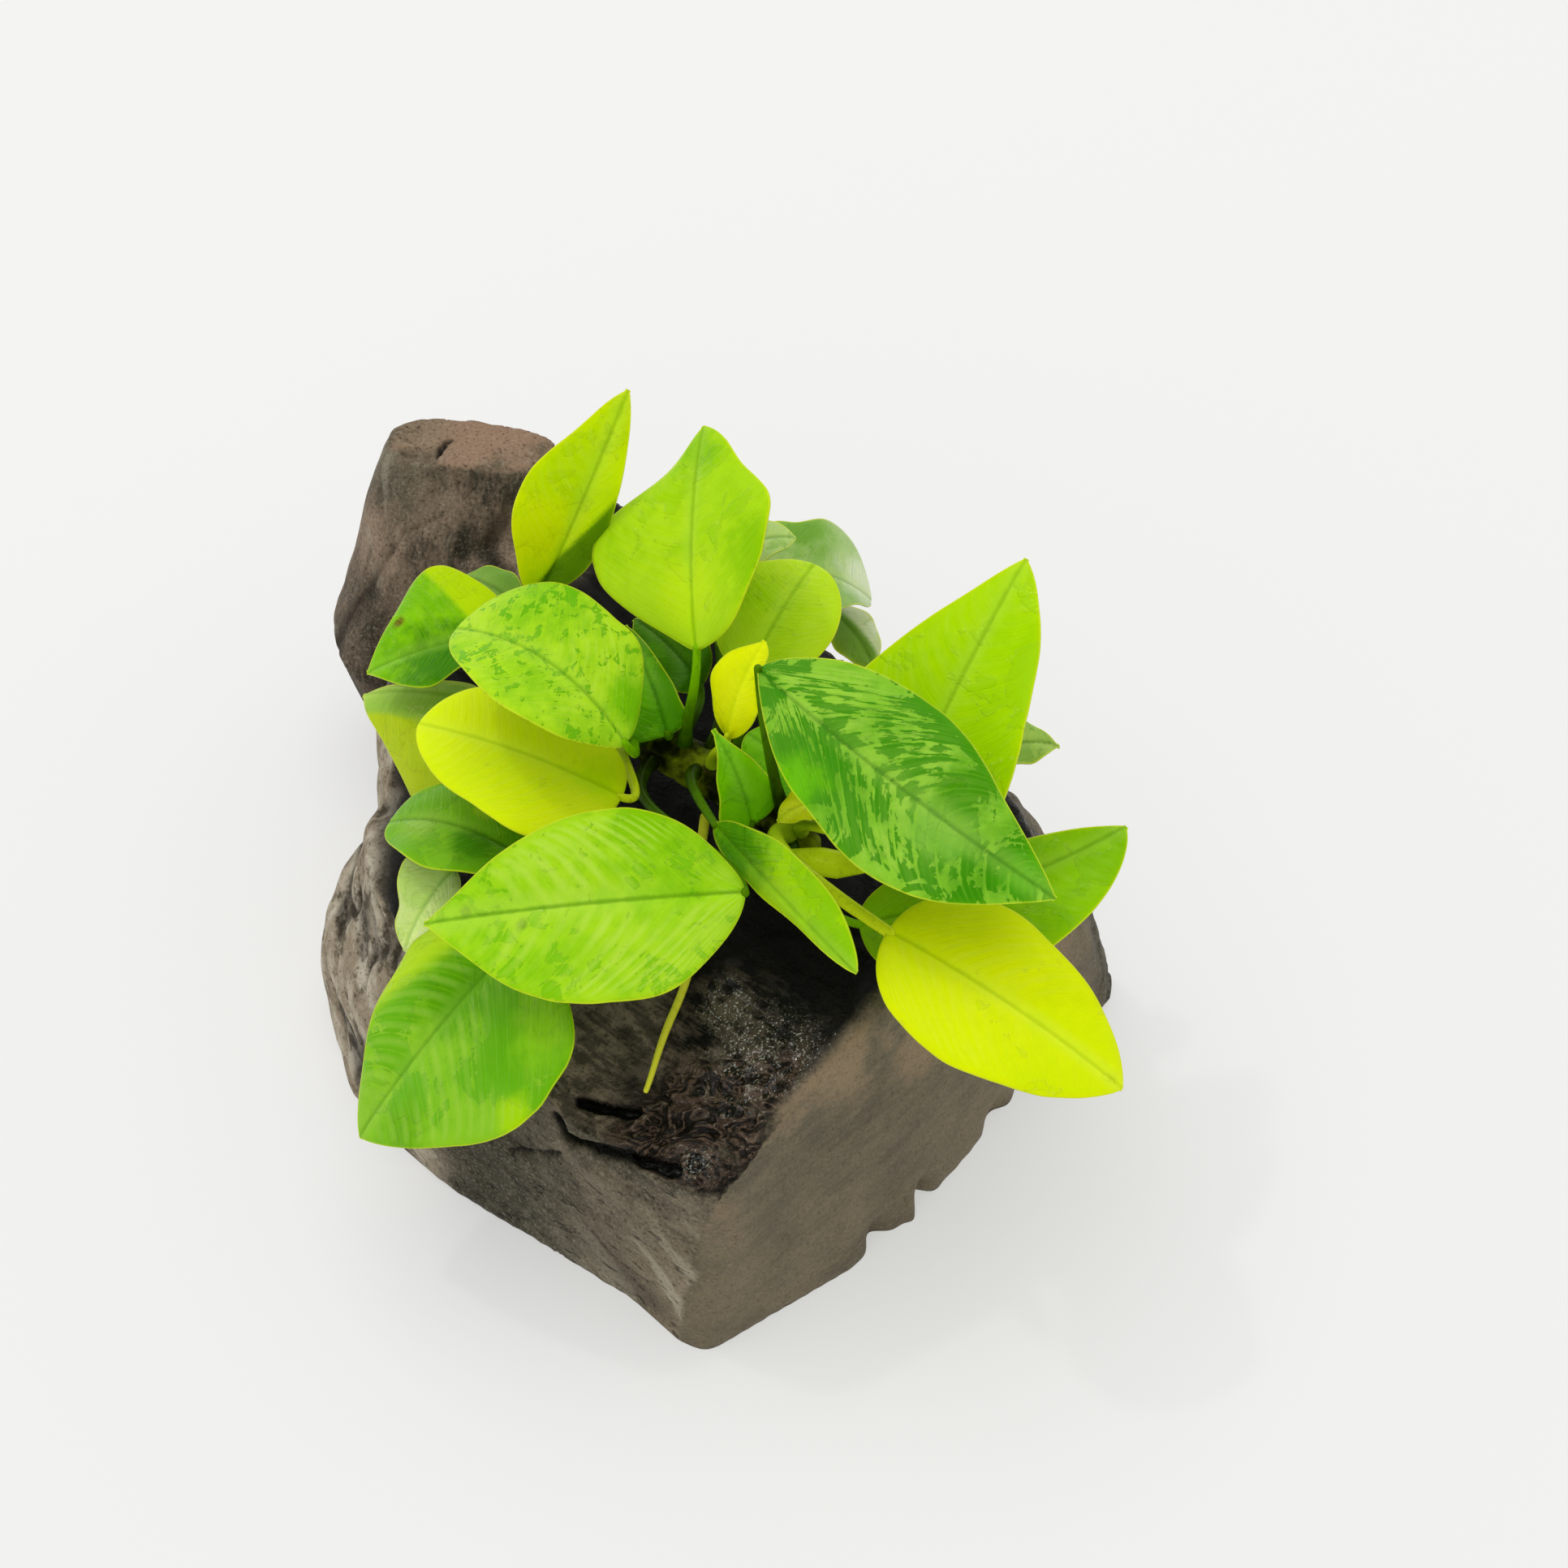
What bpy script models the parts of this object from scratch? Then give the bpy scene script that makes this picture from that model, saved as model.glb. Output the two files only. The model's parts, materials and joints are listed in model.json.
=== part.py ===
"""Anubias growing on a block of driftwood.

One rigid, free-standing piece: a sawn block of driftwood with a short side limb,
and on its top a creeping rhizome with its leaf stalks, leaf blades and roots.
Units are metres, +Z is up, and the block's flat underside lies on Z = 0.
The tables below are in millimetres and are scaled by MM when a mesh is made.
"""
import math

import bmesh
import bpy
from mathutils import Vector, noise

MM = 0.001
GAP = 0.3                    # clear space between touching pieces

# Driftwood block
TOP_CENTRE = (-6.0, -8.0, 57.0)
FORK_POINT = (-42.0, 50.0)   # the block and the limb part at an upright plane through here
FORK_RUN = (-0.81, -0.59)    # direction of that plane, seen from above
STEPS_PER_STATION = 2
TOP_RINGS = 4
ROUGHNESS_HEIGHT = 1.5       # depth of the natural, unsawn surface's lumps
ROUGHNESS_SIZE = 17.0

# Leaf blade
BLADE_THICKNESS = 0.9
BLADE_LENGTHWISE = 8
BLADE_CROSSWISE = 4
BLADE_END_WIDTH = 0.7
BLADE_WIDEST = 0.43          # share of the length at which a usual blade is widest
TIP_POWER = 0.8

# Leaf stalk
STALK_STEPS = 6
STALK_SIDES = 1              # bevel resolution: six sides
STALK_SIDE_GAP = 0.9         # and this much more for a stalk that meets it sideways
STALK_END_GAP = 0.6          # from the stalk's end to the blade, because the end face is tilted
STALK_BEND = 0.36            # share of the span over which each end keeps its direction
STALK_BASE_SHARE = 1.15      # of the row's radius, at the rhizome
STALK_TAPER = 0.45           # and this much less of it at the blade

# Rhizome: a creeping stem along the block's top
RHIZOME_PATH = [(-27, 11, 61.5), (-19, 5, 63), (-10, -2, 63.5), (0, -9, 63), (9, -16, 62.5), (14, -21, 61.5)]
RHIZOME_RADIUS = 3.9
RHIZOME_STEPS = 20
RHIZOME_SIDES = 2
RHIZOME_END_TAPER = 0.45
RHIZOME_SCAR = 0.93          # share of the radius left at each ring between two leaf scars


def fork_at(run):
    """A point of the fork plane, run millimetres along it from its middle."""
    return (FORK_POINT[0] + FORK_RUN[0] * run, FORK_POINT[1] + FORK_RUN[1] * run)


# The block's outline, anticlockwise from the front corner: foot (x, y), waist (x, y, z),
# rim (x, y, z), and whether the stretch that starts there is natural wood.
SAWN, NATURAL = False, True
BLOCK_STATIONS = [
    # The sawn face at the right front
    ((-7, -78), (-4.5, -77, 24), (0, -77, 42), SAWN),
    ((-3, -80), (2, -77.5, 24), (4, -74.5, 46.5), SAWN),
    ((9, -72), (9, -71, 26), (7.5, -70, 49.5), SAWN),
    ((21, -64), (18.5, -62.5, 28), (16.5, -61, 56), SAWN),
    ((28, -57), (26.5, -55.5, 30), (25, -53.5, 60.5), SAWN),
    ((34, -51), (33.5, -48.5, 30), (32, -46.5, 60.5), SAWN),
    ((44, -38), (41.5, -40, 30), (38.5, -40, 60), SAWN),
    ((53, -26), (50, -30.5, 30), (45, -33, 59), SAWN),
    ((62, -15.5), (57.5, -22, 28), (49.5, -27, 57), SAWN),
    # The rounded right end and the back
    ((69, -7.5), (63, -15, 26), (53, -19.5, 55), NATURAL),
    ((69.5, -3), (63, -8, 28), (51, -10, 55), NATURAL),
    ((64, 4), (59, 0, 30), (47, -2, 55), NATURAL),
    ((50, 14), (47, 9, 30), (36, 6, 60), NATURAL),
    ((35, 26), (31, 23, 32), (21, 20, 59.5), NATURAL),
    ((16, 41), (13, 38, 32), (4, 35, 60), NATURAL),
    ((-3, 55), (-6, 52, 34), (-11, 48, 60), NATURAL),
    ((-18, 66), (-19, 62, 34), (-20, 58, 60.5), NATURAL),
    # The fork, where the limb leaves the block
    (fork_at(-17), (*fork_at(-17), 32), (*fork_at(-15), 60), SAWN),
    (fork_at(-8), (*fork_at(-8), 32), (*fork_at(-7), 59), SAWN),
    (fork_at(2), (*fork_at(2), 30), (*fork_at(2), 58), SAWN),
    (fork_at(12), (*fork_at(12), 28), (*fork_at(11), 55), SAWN),
    (fork_at(21), (*fork_at(21), 25), (*fork_at(19), 50), SAWN),
    # The coarse left flank, with its groove and its outer slab
    (fork_at(28), (*fork_at(28), 22), (*fork_at(24), 44), NATURAL),
    ((-64, 26), (-64, 24, 22), (-59, 25, 42), NATURAL),
    ((-61, 14), (-60.5, 13, 20), (-57, 12, 44), NATURAL),
    ((-68, 5), (-68, 4, 22), (-61, 5, 38), NATURAL),
    ((-72.5, -3), (-71, -6, 18), (-61, -5, 42), NATURAL),
    ((-70.5, -13), (-69.5, -14, 18), (-59, -15, 43), NATURAL),
    ((-66, -28), (-64.5, -28, 20), (-54, -27, 43), NATURAL),
    # The left front face
    ((-57, -39), (-56, -39, 20), (-48, -37, 43), NATURAL),
    ((-47, -48), (-46, -47.5, 20), (-40, -46, 43), NATURAL),
    ((-36.5, -55), (-36, -54.5, 20), (-32, -54, 42), NATURAL),
    ((-25.5, -62.5), (-25, -62, 20), (-22.5, -63, 40.5), NATURAL),
    ((-15, -70), (-15, -70, 22), (-12, -71, 41), NATURAL),
]

# The limb's level sections: height, centre (x, y), half length, half width, turn in degrees
LIMB_SECTIONS = [
    (0, (-49, 56), 18, 13, 0),
    (14, (-50, 56), 20, 15, 0),
    (30, (-52, 57), 22, 16, -4),
    (46, (-49, 59), 19, 14, -6),
    (60, (-46.5, 61), 17.5, 11, -8),
    (69, (-45.5, 61.5), 16.5, 7.5, -10),
    (72, (-45, 61.5), 15, 6.2, -10),
]
LIMB_SIDES = 28
LIMB_SQUARENESS = 2.6

# The leaves. base and tip: ends of the blade's midrib. width: full width. roll: turn of the
# face towards the leaf's own left. bow: rise of the midrib's middle. fold: rise of the sides,
# in degrees, at the base and at the tip. cup: lift of the edges. twist: turn from base to tip.
# skew: extra share of the half width on the left side. lag: how much further along the right
# side is widest. sway: bend of the midrib to the left. at: place along the rhizome, 0 to 1.
# lean: the stalk's first tilt, towards +Y for a plus. follow: how far the stalk ends along the
# blade. radius: the stalk's.
LEAVES = {
    "leaf_01": dict(base=(-31, 22, 79), tip=(-15, 32, 112), width=17, skew=0.2, roll=-48, fold=(60, 10),
                    at=0.10, lean=25),
    "leaf_02": dict(base=(-4, -1, 86), tip=(-3, 32, 104), width=34, roll=38,
                    at=0.47, lean=5),
    "leaf_03": dict(base=(3, 31, 70), tip=(24, 31, 59), width=27, widest=0.58, bow=4,
                    at=0.67, lean=65),
    "leaf_04": dict(base=(1, 29, 76), tip=(12, 30, 80), width=10,
                    at=0.53, lean=50),
    "leaf_05": dict(base=(4, 0, 78), tip=(16, 20, 86), width=21, widest=0.5,
                    at=0.60, lean=45),
    "leaf_06": dict(base=(27, -28, 74), tip=(48, 2, 104), width=29, widest=0.33, skew=-0.12,
                    at=0.97, lean=-15),
    "leaf_07": dict(base=(6, -16, 98), tip=(51, -50, 84), width=29, widest=0.38, lag=0.14, skew=-0.05, roll=-10, sway=-2,
                    at=0.86, lean=-15, follow=0.1),
    "leaf_08": dict(base=(22, -38, 62), tip=(65, -22, 67), width=24, widest=0.36, skew=-0.38, sway=-3, roll=-8,
                    at=0.97, lean=-80),
    "leaf_09": dict(base=(26, -48, 73.3), tip=(62, -67, 58.3), width=30, widest=0.37, skew=-0.08,
                    at=0.92, lean=-50, radius=1.25),
    "leaf_10": dict(base=(-1, -24, 70), tip=(21, -58, 76), width=11, widest=0.56, lag=-0.18, skew=0.45, roll=-60,
                    at=0.54, lean=-50),
    "leaf_11": dict(base=(4, -44, 78), tip=(-46, -44, 70), width=32, widest=0.4, skew=0.06, roll=20,
                    at=0.41, lean=-85, follow=0.2),
    "leaf_12": dict(base=(-30, -38, 62), tip=(-59, -57, 30), width=40, skew=0.34,
                    at=0.20, lean=-55),
    "leaf_13": dict(base=(-32, -24, 61), tip=(-55, -14, 58), width=18, bow=4,
                    at=0.12, lean=-60),
    "leaf_14": dict(base=(-44, -22, 56), tip=(-52, -32, 47), width=11,
                    at=0.05, lean=-70),
    "leaf_15": dict(base=(-16, -20, 72), tip=(-49, -8, 76), width=27, skew=0.05,
                    at=0.30, lean=-55, follow=0.8),
    "leaf_16": dict(base=(-15, -19, 84), tip=(-42, -2, 92), width=26, widest=0.4, skew=-0.1, bow=7,
                    at=0.36, lean=-40),
    "leaf_17": dict(base=(-34, 16, 72), tip=(-60, 12, 66), width=24, widest=0.52, skew=-0.35,
                    at=0.02, lean=20),
    "leaf_18": dict(base=(-40, 10, 60), tip=(-62, 16, 56), width=26, skew=0.25, fold=(-50, -50),
                    at=0.0, lean=-10),
    "leaf_19": dict(base=(-35, 25, 68), tip=(-46, 34, 66), width=9,
                    at=0.06, lean=55),
    "leaf_20": dict(base=(-9, -6, 71), tip=(-16, 10, 80), width=11, skew=0.3,
                    at=0.40, lean=25),
    "leaf_21": dict(base=(-4, 8, 67), tip=(-15, 16, 75), width=13,
                    at=0.44, lean=50),
    "leaf_22": dict(base=(1, -12, 77.6), tip=(7, -5, 92.6), width=10,
                    at=0.57, lean=-5),
    "leaf_23": dict(base=(4.7, -21.5, 67), tip=(-1.3, -13.5, 81), width=9, widest=0.3,
                    at=0.68, lean=-45),
    "leaf_24": dict(base=(14, -14, 64.3), tip=(5, -6.8, 70.6), width=11,
                    at=0.78, lean=60),
    "leaf_25": dict(base=(16, -20.5, 70), tip=(9, -23.5, 70), width=6.5,
                    at=0.89, lean=10),
    "leaf_26": dict(base=(44, -1, 60), tip=(56, 1, 60), width=10,
                    at=0.94, lean=55),
    "leaf_27": dict(base=(20, 40, 54), tip=(28, 34, 47), width=9,
                    at=0.71, lean=66, follow=0.8),
}
LEAF_DEFAULTS = dict(roll=0, bow=2, sway=0, skew=0, lag=0, fold=(8, 4), cup=0, twist=0,
                     widest=BLADE_WIDEST, follow=0.6, radius=0.9)

# The rolled young leaf and the roots: a path and the radius at each of its points
YOUNG_LEAF = ([(8, -26.5, 65), (12, -27.5, 65.5), (16, -28.5, 66), (20, -30, 66.7), (23, -31, 67.3)],
              [1.3, 1.5, 1.9, 2.4, 2.2])
ROOTS = {
    "root_01": ([(-3, -14, 59.5), (-4, -22, 58.5), (-5, -31, 56.5), (-5, -41, 54), (-8.5, -50, 51), (-12, -59, 46.3)],
                [0.9, 0.8, 0.75, 0.7, 0.65, 0.45]),
    "root_02": ([(1, -17.5, 60), (4.6, -20, 59), (8.5, -22.5, 58.8), (12.5, -26, 59.5)], [0.7, 0.65, 0.6, 0.45]),
}
YOUNG_LEAF_STEPS = 8
YOUNG_LEAF_SIDES = 2
ROOT_STEPS = 10


def clear_scene():
    for old in list(bpy.data.objects):
        bpy.data.objects.remove(old, do_unlink=True)


def new_collection(name):
    collection = bpy.data.collections.new(name)
    bpy.context.scene.collection.children.link(collection)
    return collection


def new_material(name, colour, roughness):
    material = bpy.data.materials.new(name)
    material.use_nodes = True
    shader = material.node_tree.nodes["Principled BSDF"]
    shader.inputs["Base Color"].default_value = (*colour, 1.0)
    shader.inputs["Roughness"].default_value = roughness
    shader.inputs["Metallic"].default_value = 0.0
    return material


def add_object(name, data, collection, material):
    thing = bpy.data.objects.new(name, data)
    data.materials.append(material)
    collection.objects.link(thing)
    return thing


def mesh_of(bm, name):
    """Turns a bmesh in millimetres into a mesh in metres."""
    bmesh.ops.scale(bm, vec=(MM, MM, MM), verts=bm.verts)
    mesh = bpy.data.meshes.new(name)
    bm.to_mesh(mesh)
    bm.free()
    return mesh


def loft(rings, bottom=None, top=None):
    """Joins closed rings of equal length with quads, and closes the ends.

    An end with a middle point is a fan, and one without is a single flat face.
    """
    bm = bmesh.new()
    rows = [[bm.verts.new(point) for point in ring] for ring in rings]
    count = len(rows[0])
    for low, high in zip(rows, rows[1:]):
        for i in range(count):
            j = (i + 1) % count
            bm.faces.new((low[i], low[j], high[j], high[i]))
    for row, middle, turned in ((rows[0], bottom, True), (rows[-1], top, False)):
        loop = row[::-1] if turned else row
        if middle is None:
            bm.faces.new(loop)
            continue
        centre = bm.verts.new(middle)
        for i in range(count):
            bm.faces.new((loop[i], loop[(i + 1) % count], centre))
    return bm


def lumps(point, height=ROUGHNESS_HEIGHT, size=ROUGHNESS_SIZE):
    """Smooth repeatable noise, for the natural surface."""
    return height * noise.fractal(Vector(point) / size, 0.9, 2.0, 3)


def between(low, high, share):
    return Vector(low).lerp(Vector(high), share)


def block_rings():
    """Side rings from the foot to the rim, then rings that climb inwards over the top."""
    around = []
    count = len(BLOCK_STATIONS)
    for i, (foot, waist, rim, natural) in enumerate(BLOCK_STATIONS):
        next_foot, next_waist, next_rim, next_natural = BLOCK_STATIONS[(i + 1) % count]
        for step in range(STEPS_PER_STATION):
            share = step / STEPS_PER_STATION
            rough = natural and (step > 0 or BLOCK_STATIONS[i - 1][3])
            around.append((
                between((*foot, 0), (*next_foot, 0), share),
                between(waist, next_waist, share),
                between(rim, next_rim, share),
                rough,
            ))
    heart = Vector(TOP_CENTRE)
    sides = [(0, 1, 0.0), (0, 1, 0.5), (1, 2, 0.0), (1, 2, 0.5), (1, 2, 1.0)]
    rings = []
    for level, (low, high, share) in enumerate(sides):
        ring = []
        for station in around:
            point = between(station[low], station[high], share)
            outward = Vector((point.x - heart.x, point.y - heart.y, 0)).normalized()
            if station[3] and level > 0:
                point += outward * lumps(point)
            ring.append(point)
        rings.append(ring)
    rim = rings[-1]
    for step in range(1, TOP_RINGS + 1):
        share = step / (TOP_RINGS + 1)
        ring = []
        for point in rim:
            inner = between(point, heart, share)
            inner.z = point.z + (heart.z - point.z) * (1 - (1 - share) ** 1.7)
            inner.z += lumps(inner) * math.sin(math.pi * min(1.0, share * 1.5))
            ring.append(inner)
        rings.append(ring)
    return rings


def add_block(collection, material):
    bm = loft(block_rings(), bottom=None, top=Vector(TOP_CENTRE))
    bmesh.ops.triangulate(bm, faces=[face for face in bm.faces if len(face.verts) > 4])
    return add_object("driftwood_block", mesh_of(bm, "driftwood_block"), collection, material)


def add_limb(collection, material):
    """The side limb: lofted from its sections, then cut off along the fork plane."""
    rings = []
    for z, (x, y), half_length, half_width, turn in LIMB_SECTIONS:
        ring = []
        for i in range(LIMB_SIDES):
            angle = 2 * math.pi * i / LIMB_SIDES
            power = 2 / LIMB_SQUARENESS
            along = half_length * math.copysign(abs(math.cos(angle)) ** power, math.cos(angle))
            across = half_width * math.copysign(abs(math.sin(angle)) ** power, math.sin(angle))
            slant = math.radians(turn)
            point = Vector((
                x + along * math.cos(slant) - across * math.sin(slant),
                y + along * math.sin(slant) + across * math.cos(slant),
                z,
            ))
            outward = Vector((point.x - x, point.y - y, 0)).normalized()
            if 0 < z < LIMB_SECTIONS[-1][0]:
                point += outward * lumps(point)
            ring.append(point)
        rings.append(ring)
    bm = loft(rings)
    away = Vector((FORK_RUN[1], -FORK_RUN[0], 0)).normalized()
    plane_point = Vector((*FORK_POINT, 0)) + away * GAP
    everything = bm.verts[:] + bm.edges[:] + bm.faces[:]
    cut = bmesh.ops.bisect_plane(
        bm, geom=everything, dist=1e-5, plane_co=plane_point, plane_no=away, clear_inner=True)
    edges = [item for item in cut["geom_cut"] if isinstance(item, bmesh.types.BMEdge)]
    bmesh.ops.holes_fill(bm, edges=edges, sides=0)
    bmesh.ops.triangulate(bm, faces=[face for face in bm.faces if len(face.verts) > 4])
    return add_object("driftwood_limb", mesh_of(bm, "driftwood_limb"), collection, material)


def smooth_path(points, steps):
    """A Catmull-Rom curve through the points, as steps + 1 points."""
    points = [Vector(point) for point in points]
    padded = [2 * points[0] - points[1]] + points + [2 * points[-1] - points[-2]]
    spans = len(points) - 1
    path = []
    for i in range(steps + 1):
        place = i / steps * spans
        span = min(int(place), spans - 1)
        t = place - span
        a, b, c, d = padded[span:span + 4]
        path.append(0.5 * (2 * b + (c - a) * t + (2 * a - 5 * b + 4 * c - d) * t ** 2
                           + (3 * b - a - 3 * c + d) * t ** 3))
    return path


def spread(values, steps):
    """The values read off at steps + 1 even places, in straight lines between them."""
    read = []
    for i in range(steps + 1):
        place = i / steps * (len(values) - 1)
        low = min(int(place), len(values) - 2)
        read.append(values[low] + (values[low + 1] - values[low]) * (place - low))
    return read


def add_tube(name, path, radii, sides, collection, material):
    """A capped tube: a poly curve with a bevel, its radius given at every point."""
    data = bpy.data.curves.new(name, "CURVE")
    data.dimensions = "3D"
    data.bevel_depth = MM
    data.bevel_resolution = sides
    data.use_fill_caps = True
    spline = data.splines.new("POLY")
    spline.points.add(len(path) - 1)
    for point, place, radius in zip(spline.points, path, radii):
        point.co = (*(place * MM), 1.0)
        point.radius = radius
    return add_object(name, data, collection, material)


def rhizome_frame(share):
    """A point on the rhizome's axis and the axis direction there."""
    path = smooth_path(RHIZOME_PATH, 40)
    place = share * 40
    i = min(int(place), 39)
    along = (path[i + 1] - path[i]).normalized()
    return path[i].lerp(path[i + 1], place - i), along


def add_rhizome(collection, material):
    path = smooth_path(RHIZOME_PATH, RHIZOME_STEPS)
    radii = []
    for i in range(len(path)):
        taper = 1 - RHIZOME_END_TAPER * abs(2 * i / RHIZOME_STEPS - 1) ** 3
        ring = RHIZOME_SCAR if i % 2 else 1.0
        radii.append(RHIZOME_RADIUS * taper * ring)
    return add_tube("rhizome", path, radii, RHIZOME_SIDES, collection, material)


class Leaf:
    """A leaf blade as a function of its length and width, from its row in the table."""

    def __init__(self, name):
        row = {**LEAF_DEFAULTS, **LEAVES[name]}
        self.row = row
        self.base = Vector(row["base"])
        self.tip = Vector(row["tip"])
        self.length = (self.tip - self.base).length
        self.along = (self.tip - self.base).normalized()
        upright = Vector((0, 0, 1))
        level_face = (upright - self.along * upright.dot(self.along)).normalized()
        level_left = level_face.cross(self.along)
        roll = math.radians(row["roll"])
        self.face = level_face * math.cos(roll) + level_left * math.sin(roll)
        self.left = self.face.cross(self.along)

    def midrib(self, t):
        arch = 4 * t * (1 - t)
        return (self.base + self.along * self.length * t
                + self.face * self.row["bow"] * arch + self.left * self.row["sway"] * arch)

    def direction(self, t):
        step = 0.01
        return (self.midrib(t + step) - self.midrib(t - step)).normalized()

    def half_width(self, t, s):
        """t^a (1 - t)^b, whose largest value is at t = a / (a + b)."""
        widest = self.row["widest"] + (self.row["lag"] if s < 0 else 0)
        base_power = TIP_POWER * widest / (1 - widest)
        peak = widest ** base_power * (1 - widest) ** TIP_POWER
        share = max(t, 0.0) ** base_power * max(1 - t, 0.0) ** TIP_POWER / peak
        return max(self.row["width"] / 2 * share, BLADE_END_WIDTH / 2)

    def point(self, t, s):
        """s runs from -1 at the right edge to 1 at the left edge."""
        row = self.row
        along = self.direction(t)
        twist = math.radians(row["twist"]) * (t - 0.5)
        face = (self.face - along * self.face.dot(along)).normalized()
        left = face.cross(along)
        face, left = (face * math.cos(twist) + left * math.sin(twist),
                      left * math.cos(twist) - face * math.sin(twist))
        half = self.half_width(t, s) * (1 + row["skew"] * math.copysign(1, s))
        fold = math.radians(row["fold"][0] * (1 - t) + row["fold"][1] * t)
        lift = row["cup"] * s * s * half / (row["width"] / 2)
        return (self.midrib(t) + left * (s * half * math.cos(fold))
                + face * (abs(s) * half * math.sin(fold) + lift))


def add_blade(name, collection, material):
    leaf = Leaf(name)
    bm = bmesh.new()
    bmesh.ops.create_grid(bm, x_segments=BLADE_LENGTHWISE, y_segments=BLADE_CROSSWISE, size=1.0)
    for vert in bm.verts:
        t = (1 - math.cos(math.pi * (vert.co.x + 1) / 2)) / 2
        vert.co = leaf.point(t, vert.co.y)
    blade = add_object(name, mesh_of(bm, name), collection, material)
    shell = blade.modifiers.new("thickness", "SOLIDIFY")
    shell.thickness = BLADE_THICKNESS * MM
    shell.offset = 0.0
    return blade


def add_stalk(name, collection, material):
    """A stalk that leaves the rhizome outwards and meets the blade end to end."""
    leaf = Leaf(name)
    row = leaf.row
    origin, along = rhizome_frame(row["at"])
    side = Vector((0, 0, 1)).cross(along).normalized()
    if side.y < 0:
        side = -side
    lean = math.radians(row["lean"])
    outward = (Vector((0, 0, 1)) * math.cos(lean) + side * math.sin(lean)).normalized()
    start = origin + outward * (RHIZOME_RADIUS + GAP)
    span = (leaf.base - start).length
    into = leaf.direction(0.02).lerp((leaf.base - start).normalized(), 1 - row["follow"]).normalized()
    end = leaf.base - into * (STALK_END_GAP + STALK_SIDE_GAP * (1 - row["follow"]))
    controls = [start, start + outward * span * STALK_BEND, end - into * span * STALK_BEND, end]
    path = []
    radii = []
    for i in range(STALK_STEPS + 1):
        t = i / STALK_STEPS
        a, b, c, d = controls
        path.append(a * (1 - t) ** 3 + b * 3 * t * (1 - t) ** 2 + c * 3 * t ** 2 * (1 - t) + d * t ** 3)
        radii.append(row["radius"] * (STALK_BASE_SHARE - STALK_TAPER * t))
    return add_tube(name.replace("leaf", "stalk"), path, radii, STALK_SIDES, collection, material)


def main():
    clear_scene()
    collection = new_collection("anubias_on_driftwood")
    wood = new_material("wet_driftwood", (0.045, 0.033, 0.027), 0.45)
    stem = new_material("rhizome_skin", (0.10, 0.13, 0.03), 0.55)
    blade = new_material("leaf_blade", (0.22, 0.55, 0.03), 0.30)
    stalk = new_material("leaf_stalk", (0.45, 0.62, 0.06), 0.40)
    add_block(collection, wood)
    add_limb(collection, wood)
    add_rhizome(collection, stem)
    points, radii = YOUNG_LEAF
    add_tube("young_leaf", smooth_path(points, YOUNG_LEAF_STEPS), spread(radii, YOUNG_LEAF_STEPS),
             YOUNG_LEAF_SIDES, collection, stalk)
    for name, (points, radii) in ROOTS.items():
        add_tube(name, smooth_path(points, ROOT_STEPS), spread(radii, ROOT_STEPS), STALK_SIDES, collection, stalk)
    for name in LEAVES:
        add_blade(name, collection, blade)
        add_stalk(name, collection, stalk)


main()
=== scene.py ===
import json
import math

import bmesh
import bpy
import numpy as np
from mathutils import Matrix, Vector

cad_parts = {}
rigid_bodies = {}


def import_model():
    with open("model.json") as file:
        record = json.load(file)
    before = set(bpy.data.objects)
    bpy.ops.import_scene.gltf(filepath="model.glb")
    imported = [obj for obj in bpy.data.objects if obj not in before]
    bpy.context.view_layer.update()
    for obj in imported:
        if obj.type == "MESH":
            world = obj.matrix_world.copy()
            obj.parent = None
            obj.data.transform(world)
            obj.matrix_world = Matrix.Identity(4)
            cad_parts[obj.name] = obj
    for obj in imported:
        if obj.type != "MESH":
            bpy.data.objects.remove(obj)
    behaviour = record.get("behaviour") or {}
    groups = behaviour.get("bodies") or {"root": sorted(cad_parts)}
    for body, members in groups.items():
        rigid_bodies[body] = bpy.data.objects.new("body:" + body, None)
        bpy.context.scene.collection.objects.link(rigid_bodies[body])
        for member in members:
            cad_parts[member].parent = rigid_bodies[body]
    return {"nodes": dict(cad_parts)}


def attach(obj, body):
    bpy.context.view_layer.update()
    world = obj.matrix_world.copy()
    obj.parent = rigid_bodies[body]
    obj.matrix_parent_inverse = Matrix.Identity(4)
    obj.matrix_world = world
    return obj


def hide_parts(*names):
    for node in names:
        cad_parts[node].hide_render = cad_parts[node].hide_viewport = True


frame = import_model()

# Anubias on driftwood, dressed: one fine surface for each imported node, its finish, the floor,
# the lights and the camera. Tables are in millimetres and mm turns them into metres, but the floor's,
# the lamps' and the places in the driftwood's finish are in metres.

mm = 0.001
circle = 2 * np.pi
scene = bpy.context.scene
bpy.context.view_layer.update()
for stray in [thing for thing in bpy.data.objects if thing.name in ("Cube", "Light", "Camera")]:
    bpy.data.objects.remove(stray, do_unlink=True)
print("frame loaded:", len(frame["nodes"]), "nodes")


# Numbers and arrays

def vec(*numbers):
    return np.array(numbers, float)


def unit(array):
    return array / np.maximum(np.linalg.norm(array, axis=-1, keepdims=True), 1e-9)


def ease(low, high, x):    # 0 below low, 1 above high, 3x^2 - 2x^3 between
    x = np.clip((x - low) / (high - low), 0, 1)
    return x * x * (3 - 2 * x)


def apart(points, place):
    return np.linalg.norm(points - place, axis=-1)


def fall(away, reach):    # e^-(away / reach)^2: 1 at nothing away, with little left beyond the reach
    return np.exp(-(away / reach) ** 2)


def blendTo(a, b, share):
    return a + (b - a) * share


def tone(*screen):    # a screen colour, 0 to 255, as linear light
    return tuple(((c / 255 + 0.055) / 1.055) ** 2.4 if c > 10 else c / 255 / 12.92 for c in screen)


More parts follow.
